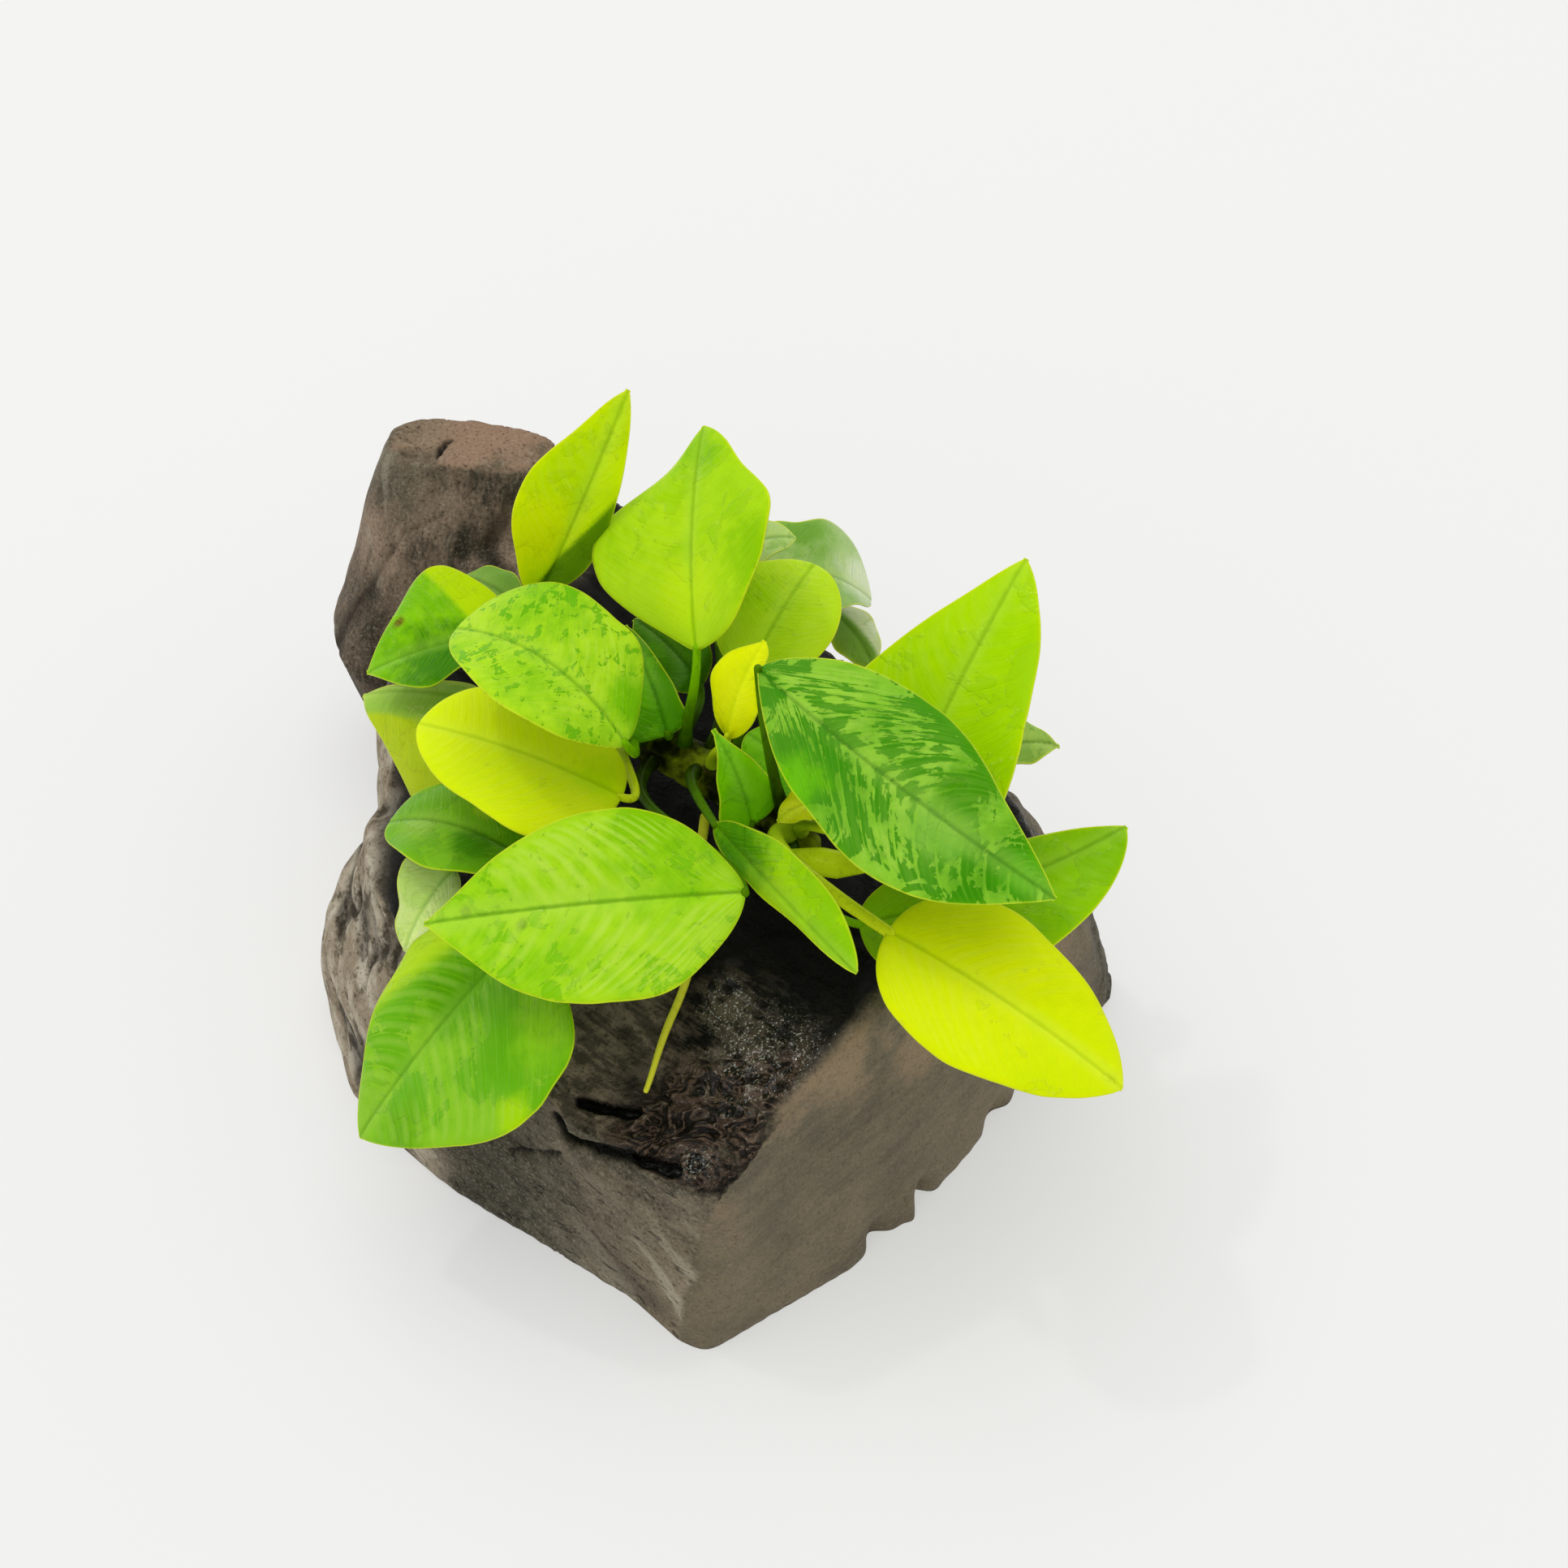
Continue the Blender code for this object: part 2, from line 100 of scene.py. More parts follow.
def scatter(cells, seed):    # a repeatable random number, 0 to 1, for each whole-number cell
    mix = cells[..., 0] * 374761393 + cells[..., 1] * 668265263 + cells[..., 2] * 1442695041 + seed * 974711
    mix = mix & 0xFFFFFFFF
    mix = (mix ^ (mix >> 13)) * 1274126177 & 0xFFFFFFFF
    return ((mix ^ (mix >> 16)) & 0xFFFFFF) / 0xFFFFFF


def bumps(points, size, seed=0):    # smooth noise, -1 to 1: cell corners' random numbers, eased between
    scaled = points / size
    cell = np.floor(scaled).astype(np.int64)
    part = scaled - cell
    part = part * part * (3 - 2 * part)
    total = 0
    for corner in range(8):
        step = np.array([corner & 1, corner >> 1 & 1, corner >> 2])
        weight = np.prod(np.where(step == 1, part, 1 - part), axis=-1)
        total = total + weight * scatter(cell + step, seed)
    return total * 2 - 1


def roughly(points, size, octaves=3, seed=0):    # bumps added at half the size and height each time
    total = 0
    for octave in range(octaves):
        total = total + bumps(points, size / 2 ** octave, seed + octave) / 2 ** octave
    return total


# Meshes

def addThing(name, data):
    thing = bpy.data.objects.new(name, data)
    scene.collection.objects.link(thing)
    return thing


def store(column, field, values):
    column.foreach_set(field, np.asarray(values, np.float32).ravel())


def readOff(column, field, width, kind):
    values = np.empty(len(column) * width, kind)
    column.foreach_get(field, values)
    return values.reshape(-1, width)


def addFields(mesh, fields):
    for name, values in fields.items():
        store(mesh.attributes.new(name, "FLOAT", "POINT").data, "value", values)


def addPiece(name, mesh, nodes, material):
    mesh.materials.clear()
    mesh.materials.append(material)
    piece = addThing(name, mesh)
    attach(piece, "root")
    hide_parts(*nodes)


# A piece made from a surface: its points, its blocks of faces and each point's place on the UV map
def makePiece(name, surface, node, material, fields=None):
    points, faces, uv = surface
    faces = [face for block in faces for face in block.tolist()]
    mesh = bpy.data.meshes.new(name)
    mesh.from_pydata(points * mm, [], faces, shade_flat=False)
    addFields(mesh, fields or {})
    store(mesh.uv_layers.new(name="UVMap").data, "uv", uv[np.concatenate(faces)])
    mesh.validate()
    addPiece(name, mesh, [node], material)


def smoothPath(points, steps):    # a Catmull-Rom curve through the points, as steps + 1 points
    points = np.asarray(points, float)
    padded = np.vstack([2 * points[0] - points[1], points, 2 * points[-1] - points[-2]])
    place = np.linspace(0, len(points) - 1, steps + 1)
    span = np.minimum(place.astype(int), len(points) - 2)
    t = (place - span)[:, None]
    a, b, c, d = (padded[span + i] for i in range(4))
    return 0.5 * (2 * b + (c - a) * t + (2 * a - 5 * b + 4 * c - d) * t ** 2
                  + (3 * b - a - 3 * c + d) * t ** 3)


def curved(values, t):    # values at even places, read off at t, 0 to 1, from a smooth curve through them
    curve = smoothPath(np.reshape(values, (-1, 1)), 60)[:, 0]
    return np.interp(t, np.linspace(0, 1, 61), curve)


def spread(values, steps):    # the values read off at steps + 1 even places, in straight lines between
    return np.interp(np.linspace(0, len(values) - 1, steps + 1), range(len(values)), values)


# A closed tube: at each point of the path a ring of radius r, squeezed by flat along its second
# axis, where the angle runs round and relief adds to the radius; the ends are half rounds
def tubeSurface(path, radius, sides, relief=lambda along, around: 0, flat=1, reference=(0, 0, 1)):
    ends = 4
    cap = np.linspace(0, np.pi / 2, ends + 1)[:-1]
    along = unit(np.gradient(path, axis=0))
    first = path[0] - along[0] * radius[0] * np.cos(cap)[:, None]
    last = path[-1] + along[-1] * radius[-1] * np.sin(cap + cap[1])[:, None]
    path = np.vstack([first, path, last])
    along = np.pad(along, ((ends, ends), (0, 0)), "edge")
    radius = np.concatenate([radius[0] * np.maximum(np.sin(cap), 0.03), radius,
                             radius[-1] * np.maximum(np.cos(cap + cap[1]), 0.03)])
    side = unit(np.cross(along, reference))
    rise = np.cross(side, along)
    angle = np.linspace(0, circle, sides, endpoint=False)
    rings = len(path)
    share = np.linspace(0, 1, rings)
    grow = radius[:, None] + relief(share[:, None], angle) * (radius / radius.max())[:, None]
    points = (path[:, None] + side[:, None] * (grow * np.cos(angle))[..., None]
              + rise[:, None] * (grow * np.sin(angle) * flat)[..., None])
    index = np.arange(rings * sides).reshape(rings, sides)
    low, high = index[:-1], index[1:]
    quads = np.stack([low, np.roll(low, -1, 1), np.roll(high, -1, 1), high], -1).reshape(-1, 4)[:, ::-1]
    uv = np.stack([np.tile(angle / circle, rings), np.repeat(share, sides)], 1)
    return points.reshape(-1, 3), [quads, index[:1], index[-1:, ::-1]], uv


# Materials: a socket that can be added to, multiplied and so on

def joined(operation):    # a method that puts the socket and another value through one Math node
    return lambda self, other: self.math(operation, other)


class Socket:
    def __init__(self, paint, link):
        self.paint = paint
        self.link = link

    def math(self, operation, *others):
        return self.paint.node("ShaderNodeMath", {"operation": operation}, dict(enumerate((self, *others))))

    __add__ = __radd__ = joined("ADD")
    __sub__ = joined("SUBTRACT")
    __mul__ = __rmul__ = joined("MULTIPLY")
    __pow__ = joined("POWER")

    def __rsub__(self, other):
        return self * -1.0 + other

    # eased from bottom at low to top at high, where low may be the larger
    def between(self, low, high, bottom=0.0, top=1.0, kind="SMOOTHSTEP"):
        values = {"Value": self, "From Min": low, "From Max": high, "To Min": bottom, "To Max": top}
        return self.paint.node("ShaderNodeMapRange", {"interpolation_type": kind}, values, "Result")


class Paint:
    def __init__(self, name, owners=bpy.data.materials, shader="Principled BSDF"):
        self.owner = owners.new(name)
        self.owner.use_nodes = True
        self.tree = self.owner.node_tree
        self.shader = self.tree.nodes[shader]

    def node(self, kind, settings=None, values=None, out=0):
        node = self.tree.nodes.new(kind)
        for name, value in (settings or {}).items():
            setattr(node, name, value)
        self.plug(node, values or {})
        return Socket(self, node.outputs[out])

    def plug(self, node, values):
        for name, value in values.items():
            target = node.inputs[name]
            if isinstance(value, Socket):
                self.tree.links.new(value.link, target)
            elif isinstance(value, (tuple, list)) and target.type == "RGBA":
                target.default_value = (*value[:3], 1.0)
            else:
                target.default_value = value

    def field(self, name):
        return self.node("ShaderNodeAttribute", {"attribute_name": name}, {}, "Fac")

    def place(self):
        return self.node("ShaderNodeTexCoord", {}, {}, "Object")

    def axes(self, vector):
        return [self.node("ShaderNodeSeparateXYZ", {}, {0: vector}, axis) for axis in range(3)]

    def sheet(self):    # the UV map's two coordinates
        return self.axes(self.node("ShaderNodeUVMap", {"uv_map": "UVMap"}))[:2]

    def stretched(self, vector, scale, turn=(0, 0, 0)):
        return self.node("ShaderNodeMapping", {}, dict(Vector=vector, Scale=scale, Rotation=turn))

    def grained(self, vector, grain, stretch, *settings):    # noise in space squeezed along the grain
        turn = Vector(grain).to_track_quat("X", "Z").to_euler()
        values = dict(Vector=vector, Scale=(stretch, 1, 1), Rotation=turn)
        return self.noise(self.node("ShaderNodeMapping", {"vector_type": "TEXTURE"}, values), *settings)

    def noise(self, vector, scale, detail=3.0, roughness=0.55, distortion=0.0):
        values = dict(Vector=vector, Scale=scale, Detail=detail, Roughness=roughness, Distortion=distortion)
        return self.node("ShaderNodeTexNoise", {}, values)

    def mixed(self, a, b, share):    # colours: a where share is 0, b where it is 1
        return self.node("ShaderNodeMix", {"data_type": "RGBA"}, {0: share, 6: a, 7: b}, 2)

    def layered(self, base, *layers):    # each layer, a colour and its share, over what is before it
        for colour, share in layers:
            base = self.mixed(base, colour, share)
        return base

    def bump(self, height, strength, distance):
        values = dict(Height=height, Strength=strength, Distance=distance * mm)
        return self.node("ShaderNodeBump", {}, values, "Normal")

    def finish(self, **values):
        self.plug(self.shader, {name.replace("_", " "): value for name, value in values.items()})
        return self.owner


# Leaves. Each row has the values of leafColumns and then what differs from leafDefaults. base and tip
# are the ends of the midrib, width the full width, at and lean where the stalk leaves the rhizome. dark
# is the tone under a film of water and light the dry tone, wet the film's share of the top, patch its
# patches' size in mm. roll turns the face to the leaf's left; bow lifts the midrib's middle and sway
# moves it to the left; fold raises the sides, in degrees at base and tip; skew is the left side's extra
# share of width and lag how much later the right side is widest; follow is how far the stalk's end turns
# into the midrib's line. left and right scale each side's width at six even places from base to tip. A
# crease runs from one place to another, each the share of the length and the mm to the left of the
# midrib, and the part to the left of that line is turned by the angle in degrees and takes the tone,
# painted light and shade for how the turned part meets the light, with a bend so many mm wide. comb is
# how far the film breaks up along the side veins, stain how dark it lies, haze the share of a pale
# wash of painted sheen, bands that of paler stripes of painted sheen between the side veins, and
# midrib the strength of its darker line, partly painted shade in its groove, and of the painted sheen
# beside it. Each of marks is a place, its reach in mm and its tone, which fades out from
# there: most are painted shade and painted light where other leaves shade a blade or light falls on it,
# and a few are the leaf's own spots.

leafColumns = ("base", "tip", "width", "at", "lean", "stalk", "dark", "light", "wet", "patch")
leafTable = {
    "leaf_01": ((-31, 21, 75), (-15, 32, 112), 17, 0.1, 25, "young", (168, 208, 0), (190, 228, 0), 0.3, 5,
        dict(skew=0.2, roll=-48, fold=(36, 10), left=(0.8, 0.88, 1.08, 1.1, 0.85, 0.8),
        right=(1.5, 1.3, 1.05, 0.86, 0.8, 0.8),
        crease=((0.53, -4.6, 0.1, 1.5), -34, (60, 116, 6), 0.5),
        marks=[(0.34, 6, 12, 214, 240, 0)])),
    "leaf_02": ((-4, -1, 86), (-3, 32, 104), 34, 0.47, 5, "green", (140, 194, 0), (176, 220, 20), 0.3, 9,
        dict(roll=38, left=(0.4, 0.86, 1.14, 1.15, 0.6, 0.4), right=(1, 0.9, 0.96, 1.1, 0.84, 1),
        marks=[(0.9, 0, 7, 124, 184, 0), (0.36, -15, 9, 134, 190, 0), (0.25, 0, 8, 188, 228, 20)])),
    "leaf_03": ((3, 31, 70), (25, 33.5, 61), 27, 0.67, 65, "dark", (112, 162, 56), (168, 196, 124), 0.4,
        16, dict(widest=0.58, tipPower=0.5, bow=4, left=(1.4, 1.1, 0.87, 0.92, 1.05, 1.1),
        right=(1, 1, 0.9, 0.65, 0.42, 0.4), stain=0.3, marks=[(0.9, 2, 8, 206, 220, 182),
        (0.4, 9, 8, 104, 156, 44)])),
    "leaf_04": ((1, 29, 76), (12, 30, 80), 10, 0.53, 50, "dark", (92, 160, 20), (176, 204, 124), 0.35, 4,
        {}),
    "leaf_05": ((4, 0, 78), (15, 18.5, 85.5), 21, 0.6, 45, "green", (156, 208, 0), (184, 226, 30), 0.3, 7,
        dict(widest=0.5, tipPower=0.5, left=(0.9, 1, 1, 1, 0.95, 0.9), right=(0.9, 1, 1, 1, 0.95, 0.9),
        haze=0.3)),
    "leaf_06": ((27, -28, 74), (48, 2, 104), 29, 0.97, -15, "young", (146, 200, 0), (166, 214, 0), 0.4, 10,
        dict(widest=0.33, skew=-0.12, left=(1.4, 1.34, 1.24, 1.06, 0.88, 0.7),
        right=(1, 1, 0.91, 0.89, 0.94, 1))),
    "leaf_07": ((6, -16, 98), (51, -50, 84), 29, 0.86, -15, "dark", (44, 134, 0), (140, 198, 52), 0.48, 7,
        dict(widest=0.38, skew=-0.05, lag=0.14, roll=-10, sway=-2, follow=0.1,
        left=(0.7, 0.92, 1, 1, 0.88, 0.7), right=(0.75, 0.9, 0.94, 1, 0.94, 0.6), comb=0.95, stain=0.9,
        haze=0.5, marks=[(0.3, -10, 6, 96, 180, 0), (0.66, -2, 8, 118, 178, 58),
        (0.9, 0, 6, 72, 160, 10), (0.64, 6, 7, 66, 142, 8)])),
    "leaf_08": ((22, -38, 62), (65, -22, 67), 24, 0.97, -80, "green", (108, 170, 0), (134, 190, 2), 0.4, 8,
        dict(widest=0.36, skew=-0.38, roll=-8, sway=-3, right=(0.9, 0.92, 0.93, 0.93, 0.95, 1))),
    "leaf_09": ((26, -48, 73.3), (62, -67, 58.3), 30, 0.92, -50, "young", (202, 232, 0), (220, 244, 0),
        0.12, 8, dict(widest=0.37, skew=-0.08, radius=1.25, left=(1, 1, 1, 1.02, 1.1, 1.3))),
    "leaf_10": ((-1, -24, 70), (21, -58, 76), 11, 0.54, -50, "dark", (128, 190, 0), (160, 214, 0), 0.5, 8,
        dict(widest=0.56, tipPower=0.62, skew=0.45, lag=-0.18, roll=-60, sway=1.3,
        left=(0.9, 0.85, 0.92, 1, 1, 1), right=(1, 1, 0.9, 0.8, 0.85, 1),
        marks=[(0.2, 0, 14, 72, 148, 0)])),
    "leaf_11": ((4, -44, 78), (-46, -44, 70), 32, 0.41, -85, "dark", (110, 184, 0), (168, 220, 30), 0.3,
        4.5, dict(widest=0.4, skew=0.06, roll=20, follow=0.2, left=(0.8, 1, 1, 1.02, 0.93, 0.6),
        right=(0.6, 0.93, 0.95, 0.98, 0.84, 0.5), comb=0.4, stain=0.7, haze=0.5, bands=0.55, midrib=0.65,
        marks=[(0.3, -13, 9, 128, 194, 0), (0.86, -0.8, 1.4, 112, 156, 40),
        (0.68, 2.5, 1.8, 112, 156, 40)])),
    "leaf_12": ((-30, -38, 62), (-59, -57, 30), 40, 0.2, -55, "green", (88, 168, 0), (134, 194, 30), 0.52,
        11, dict(skew=0.34, left=(1.8, 1.15, 1, 0.86, 0.74, 0.65), right=(1.3, 1.3, 1.3, 1.08, 0.95, 0.9),
        crease=((0.62, -12, 0.12, -6), -28, (176, 216, 10), 2.2), comb=0.3,
        stain=0.7, bands=0.3, marks=[(0.42, 24, 5, 160, 212, 0), (0.9, -4, 9, 132, 188, 40),
        (0.36, -2, 12, 84, 156, 0), (0.82, 8, 8, 102, 168, 0), (0.16, 18, 9, 136, 200, 20)])),
    "leaf_13": ((-32, -24, 61), (-55, -14, 58), 18, 0.12, -60, "dark", (82, 150, 0), (124, 184, 30), 0.5,
        7, dict(tipPower=0.55, bow=4, left=(1, 1, 1.1, 1.1, 1, 1), right=(1, 1, 1, 1.05, 1.2, 1.3),
        marks=[(0.7, 1.8, 5, 136, 184, 56), (0.32, 3, 5, 62, 132, 0), (0.34, -5, 3, 180, 214, 30)])),
    "leaf_14": ((-44, -22, 56), (-52, -32, 47), 11, 0.05, -70, "green", (172, 222, 90), (226, 246, 160),
        0.3, 4, dict(right=(2.4, 1.7, 1.2, 0.85, 0.95, 1))),
    "leaf_15": ((-16, -20, 72), (-49, -8, 76), 27, 0.3, -55, "young", (204, 242, 0), (224, 252, 10), 0.2,
        7, dict(tipPower=0.6, skew=0.05, follow=0.8, left=(1.2, 1.2, 1.12, 1, 1, 0.9),
        right=(0.8, 0.8, 0.85, 0.9, 1.1, 1.4), marks=[(0.12, -1, 8, 200, 240, 0)])),
    "leaf_16": ((-15, -19, 84), (-42, -2, 92), 26, 0.36, -40, "green", (88, 170, 0), (176, 222, 34), 0.31,
        2.1, dict(widest=0.44, tipPower=0.55, skew=-0.1, bow=7, left=(0.5, 0.85, 1, 1.05, 1, 1),
        right=(0.6, 0.96, 0.93, 1, 1.2, 1.4), comb=0.2, stain=0.8, haze=0.4,
        marks=[(0.1, -5, 6, 112, 184, 0)])),
    "leaf_17": ((-34, 16, 72), (-60, 12, 66), 24, 0.02, 20, "young", (104, 176, 0), (132, 196, 0), 0.5, 12,
        dict(widest=0.52, skew=-0.35, left=(1, 1, 0.9, 1.25, 1, 0.6), right=(0.9, 0.9, 1, 0.95, 0.72, 0.5),
        crease=((0.52, -15, 0.27, -2.2), 25, (186, 222, 0), 0.5),
        marks=[(0.45, 5, 15, 50, 122, 0), (0.73, -7, 1.6, 104, 92, 10)])),
    "leaf_18": ((-40, 10, 60), (-62, 16, 56), 26, 0, -10, "young", (130, 188, 30), (174, 208, 90), 0.5, 7,
        dict(skew=0.25, fold=(-12, -12), left=(1.1, 1.1, 1.15, 1.3, 1.1, 0.7),
        right=(0.6, 0.6, 0.4, 0.3, 0.3, 0.3),
        crease=((0.34, 6.5, 0.9, 4), -55, (190, 214, 10), 0.5),
        marks=[(0.8, 5, 7, 150, 196, 70)])),
    "leaf_19": ((-35, 25, 68), (-46, 34, 66), 9, 0.06, 55, "dark", (96, 146, 48), (128, 166, 72), 0.2, 9,
        dict(stain=0.2)),
    "leaf_20": ((-9, -6, 71), (-16, 10, 80), 11, 0.4, 25, "dark", (40, 118, 0), (92, 168, 0), 0.6, 6,
        dict(skew=0.3, left=(3, 1.5, 1, 1, 0.9, 0.9), right=(2.4, 1.2, 0.9, 0.7, 0.7, 0.7))),
    "leaf_21": ((-4, 8, 67), (-15, 16, 75), 13, 0.44, 50, "dark", (34, 108, 0), (90, 160, 6), 0.6, 6, {}),
    "leaf_22": ((1, -12, 77.6), (7, -5, 92.6), 10, 0.57, -5, "young", (212, 236, 0), (238, 250, 0), 0.25,
        5, dict(left=(0.6, 0.75, 0.95, 1.15, 1.2, 0.7), right=(0.8, 0.9, 1, 0.95, 0.8, 1.4), midrib=0.12)),
    "leaf_23": ((4.7, -21.5, 67), (-1.3, -13.5, 81), 9, 0.68, -45, "dark", (98, 180, 0), (124, 204, 0),
        0.4, 5, dict(widest=0.3, tipPower=0.9, left=(1.4, 1.3, 1.1, 1, 0.8, 0.7),
        right=(1.4, 1.3, 1.1, 1, 0.8, 0.7))),
    "leaf_24": ((14, -14, 64.3), (4, -6.2, 71.5), 15, 0.78, 60, "dark", (92, 184, 0), (128, 204, 10), 0.4,
        5, dict(tipPower=0.6)),
    "leaf_25": ((16, -20.5, 70), (9, -23.5, 70), 6.5, 0.89, 10, "green", (188, 208, 0), (216, 230, 0), 0.3,
        5, {}),
    "leaf_26": ((44, -1, 60), (56, 1, 60), 10, 0.94, 55, "dark", (80, 136, 10), (150, 184, 84), 0.45, 4,
        dict(tipPower=1.2)),
    "leaf_27": ((18, 38, 54), (26, 31, 46), 9, 0.71, 66, "green", (150, 184, 90), (206, 220, 186), 0.3, 4,
        dict(follow=0.8, crease=((0.9, 1.6, 0.1, 1), -20, (104, 156, 10), 0.5))),
}
leafDefaults = dict(
    roll=0, bow=2, sway=0, skew=0, lag=0, fold=(8, 4), widest=0.43, tipPower=0.8, left=(1,) * 6,
    right=(1,) * 6, crease=None, follow=0.6, radius=0.9, wave=0.35, waves=2.5, crown=0.5, ripple=0.09,
    comb=0.15, midrib=0.4, stain=0.4, haze=0.12, bands=0.1, marks=())

leafShape = dict(rows=72, columns=49, thickness=0.5, endWidth=0.9, veins=14, veinReach=0.4, veinPower=1.4,
                 uneven=0.02, buckle=0.3, keel=0.8, keelWidth=0.8, groove=0.16, grooveWidth=0.5,
                 margin=0.45, marginWidth=1.5)


class Blade:
    def __init__(self, name):
        *values, others = leafTable[name]
        row = {**leafDefaults, **dict(zip(leafColumns, values)), **others}
        self.row = row
        self.base = vec(*row["base"])
        self.tip = vec(*row["tip"])
        self.length = apart(self.tip, self.base)
        self.along = unit(self.tip - self.base)
        level = unit(vec(0, 0, 1) - self.along * self.along[2])
        roll = math.radians(row["roll"])
        self.face = level * math.cos(roll) + np.cross(level, self.along) * math.sin(roll)
        self.left = np.cross(self.face, self.along)
        self.seed = int(name[-2:])

    def midrib(self, t):    # the straight line, lifted by bow and swayed by 4t(1 - t)
        t = np.asarray(t, float)[..., None]
        shift = self.face * self.row["bow"] + self.left * self.row["sway"]
        return self.base + self.along * self.length * t + shift * (4 * t * (1 - t))

    def direction(self, t):
        t = np.asarray(t, float)
        return unit(self.midrib(t + 0.01) - self.midrib(t - 0.01))

    # t^a (1 - t)^b, largest at t = a / (a + b), times the side's share and a little unevenness, where
    # the sign of s tells the side
    def halfWidth(self, t, s):
        row = self.row
        widest = row["widest"] + np.where(s < 0, row["lag"], 0)
        basePower = row["tipPower"] * widest / (1 - widest)
        peak = widest ** basePower * (1 - widest) ** row["tipPower"]
        share = np.clip(t, 0, 1) ** basePower * np.clip(1 - t, 0, 1) ** row["tipPower"] / peak
        share = share * np.where(s < 0, curved(row["right"], t), curved(row["left"], t))
        margin = np.stack([t * self.length, 20 * np.sign(s), self.seed * 7 + 0 * t], -1)
        share = share * (1 + leafShape["uneven"] * roughly(margin, 6, 2))
        half = np.maximum(row["width"] / 2 * share, leafShape["endWidth"] / 2)
        return half * (1 + row["skew"] * np.sign(s))

    # The midrib, plus s half widths sideways at the fold angle, raised by the crown between midrib and
    # margin, by the margin's waves, the veins' ripple and some slow buckling, then turned at the crease
    def surface(self, t, s):
        row = self.row
        along = self.direction(t)
        face = unit(self.face - along * np.sum(along * self.face, -1, keepdims=True))
        left = np.cross(face, along)
        half = self.halfWidth(t, s)
        fold = np.radians(blendTo(*row["fold"], t))
        reach = np.abs(s)
        window = np.sin(np.pi * np.clip(t, 0, 1)) ** 0.6
        lift = reach * half * np.sin(fold) + row["crown"] * np.sin(np.pi * reach ** 0.8) * half / 12
        phase = self.seed * 1.7 + np.where(s < 0, 2.1, 0)
        lift = lift + row["wave"] * reach ** 3 * np.sin(circle * row["waves"] * t + phase) * window
        ripple = np.cos(circle * leafShape["veins"] * self.vein(t, s)) * np.sin(np.pi * reach ** 0.7)
        lift = lift + row["ripple"] * ripple * window
        points = self.midrib(t) + left * (s * half * np.cos(fold))[..., None]
        lift = lift + leafShape["buckle"] * bumps(points, 9, self.seed) * window * reach
        points = points + face * lift[..., None]
        beyond = np.zeros_like(t)
        if row["crease"]:
            (t0, across0, t1, across1), angle, _, soft = row["crease"]
            run = unit(vec((t1 - t0) * self.length, across1 - across0))
            away = run[0] * (s * half - across0) - run[1] * (t - t0) * self.length
            turned = (soft * np.logaddexp(0, away / soft))[..., None]
            angle = math.radians(angle)
            outward = left * run[0] - along * run[1]
            points = points + face * turned * math.sin(angle) - outward * turned * (1 - math.cos(angle))
            beyond = ease(-soft, soft, away)
        return points, half, beyond

    # where the side vein through this point leaves the midrib, as a share of the length: (t - b) / (1 - b),
    # where b, the vein's reach towards the tip, grows with the distance from the midrib
    def vein(self, t, s):
        bend = leafShape["veinReach"] * np.abs(s) ** leafShape["veinPower"]
        return (t - bend) / (1 - bend)


# Blade: the surface on a grid that is closer at the ends and the margins, moved half its thickness up and
# down along its normal and joined round the rim. It thins towards the margin, and under the midrib is a
# keel and above it a groove, each a bell curve of the distance from it.
def addBlade(name):
    blade = Blade(name)
    rows = leafShape["rows"]
    columns = leafShape["columns"]
    t = (1 - np.cos(np.pi * np.linspace(0, 1, rows))) / 2
    s = np.linspace(-1, 1, columns)
    s = np.sign(s) * np.abs(s) ** 0.85
    t, s = np.meshgrid(t, s, indexing="ij")
    sheet, half, beyond = blade.surface(t, s)
    normal = unit(np.cross(np.gradient(sheet, axis=0), np.gradient(sheet, axis=1)))
    rib = np.abs(s) * half
    edge = (1 - np.abs(s)) * half
    inward = ease(0, leafShape["marginWidth"], edge)
    thin = leafShape["thickness"] / 2 * blendTo(leafShape["margin"], 1, inward)
    keel = leafShape["keel"] * (1 - t) ** 0.7 * fall(rib, leafShape["keelWidth"])
    groove = leafShape["groove"] * (1 - t) ** 0.5 * fall(rib, leafShape["grooveWidth"])
    points = np.concatenate([sheet + normal * (thin - groove)[..., None],
                             sheet - normal * (thin + keel)[..., None]]).reshape(-1, 3)
    top = np.arange(rows * columns).reshape(rows, columns)
    low = top + rows * columns
    quad = lambda *corners: np.stack([corner.ravel() for corner in corners], 1)
    faces = [
        quad(top[:-1, :-1], top[1:, :-1], top[1:, 1:], top[:-1, 1:]),
        quad(low[:-1, :-1], low[:-1, 1:], low[1:, 1:], low[1:, :-1]),
        quad(top[:-1, 0], low[:-1, 0], low[1:, 0], top[1:, 0]),
        quad(top[:-1, -1], top[1:, -1], low[1:, -1], low[:-1, -1]),
        quad(top[0, :-1], top[0, 1:], low[0, 1:], low[0, :-1]),
        quad(top[-1, :-1], low[-1, :-1], low[-1, 1:], top[-1, 1:]),
    ]
    fields = dict(vein=blade.vein(t, s), side=s * half, edge=edge, beyond=beyond)
    fields = {name: np.tile(values.ravel(), 2) for name, values in fields.items()}
    fields["under"] = np.repeat([0, 1], top.size)
    surface = points, faces, np.tile(np.stack([(s + 1) / 2, t], -1).reshape(-1, 2), (2, 1))
    makePiece(name.replace("leaf", "blade"), surface, name, leafFinish(name, blade), fields)


# Leaf finish: dry skin in the light tone and patches of film in the dark tone, glossy and a little raised,
# with a pale wash and stripes of painted sheen, painted glints round the films, and painted shade and
# light in places

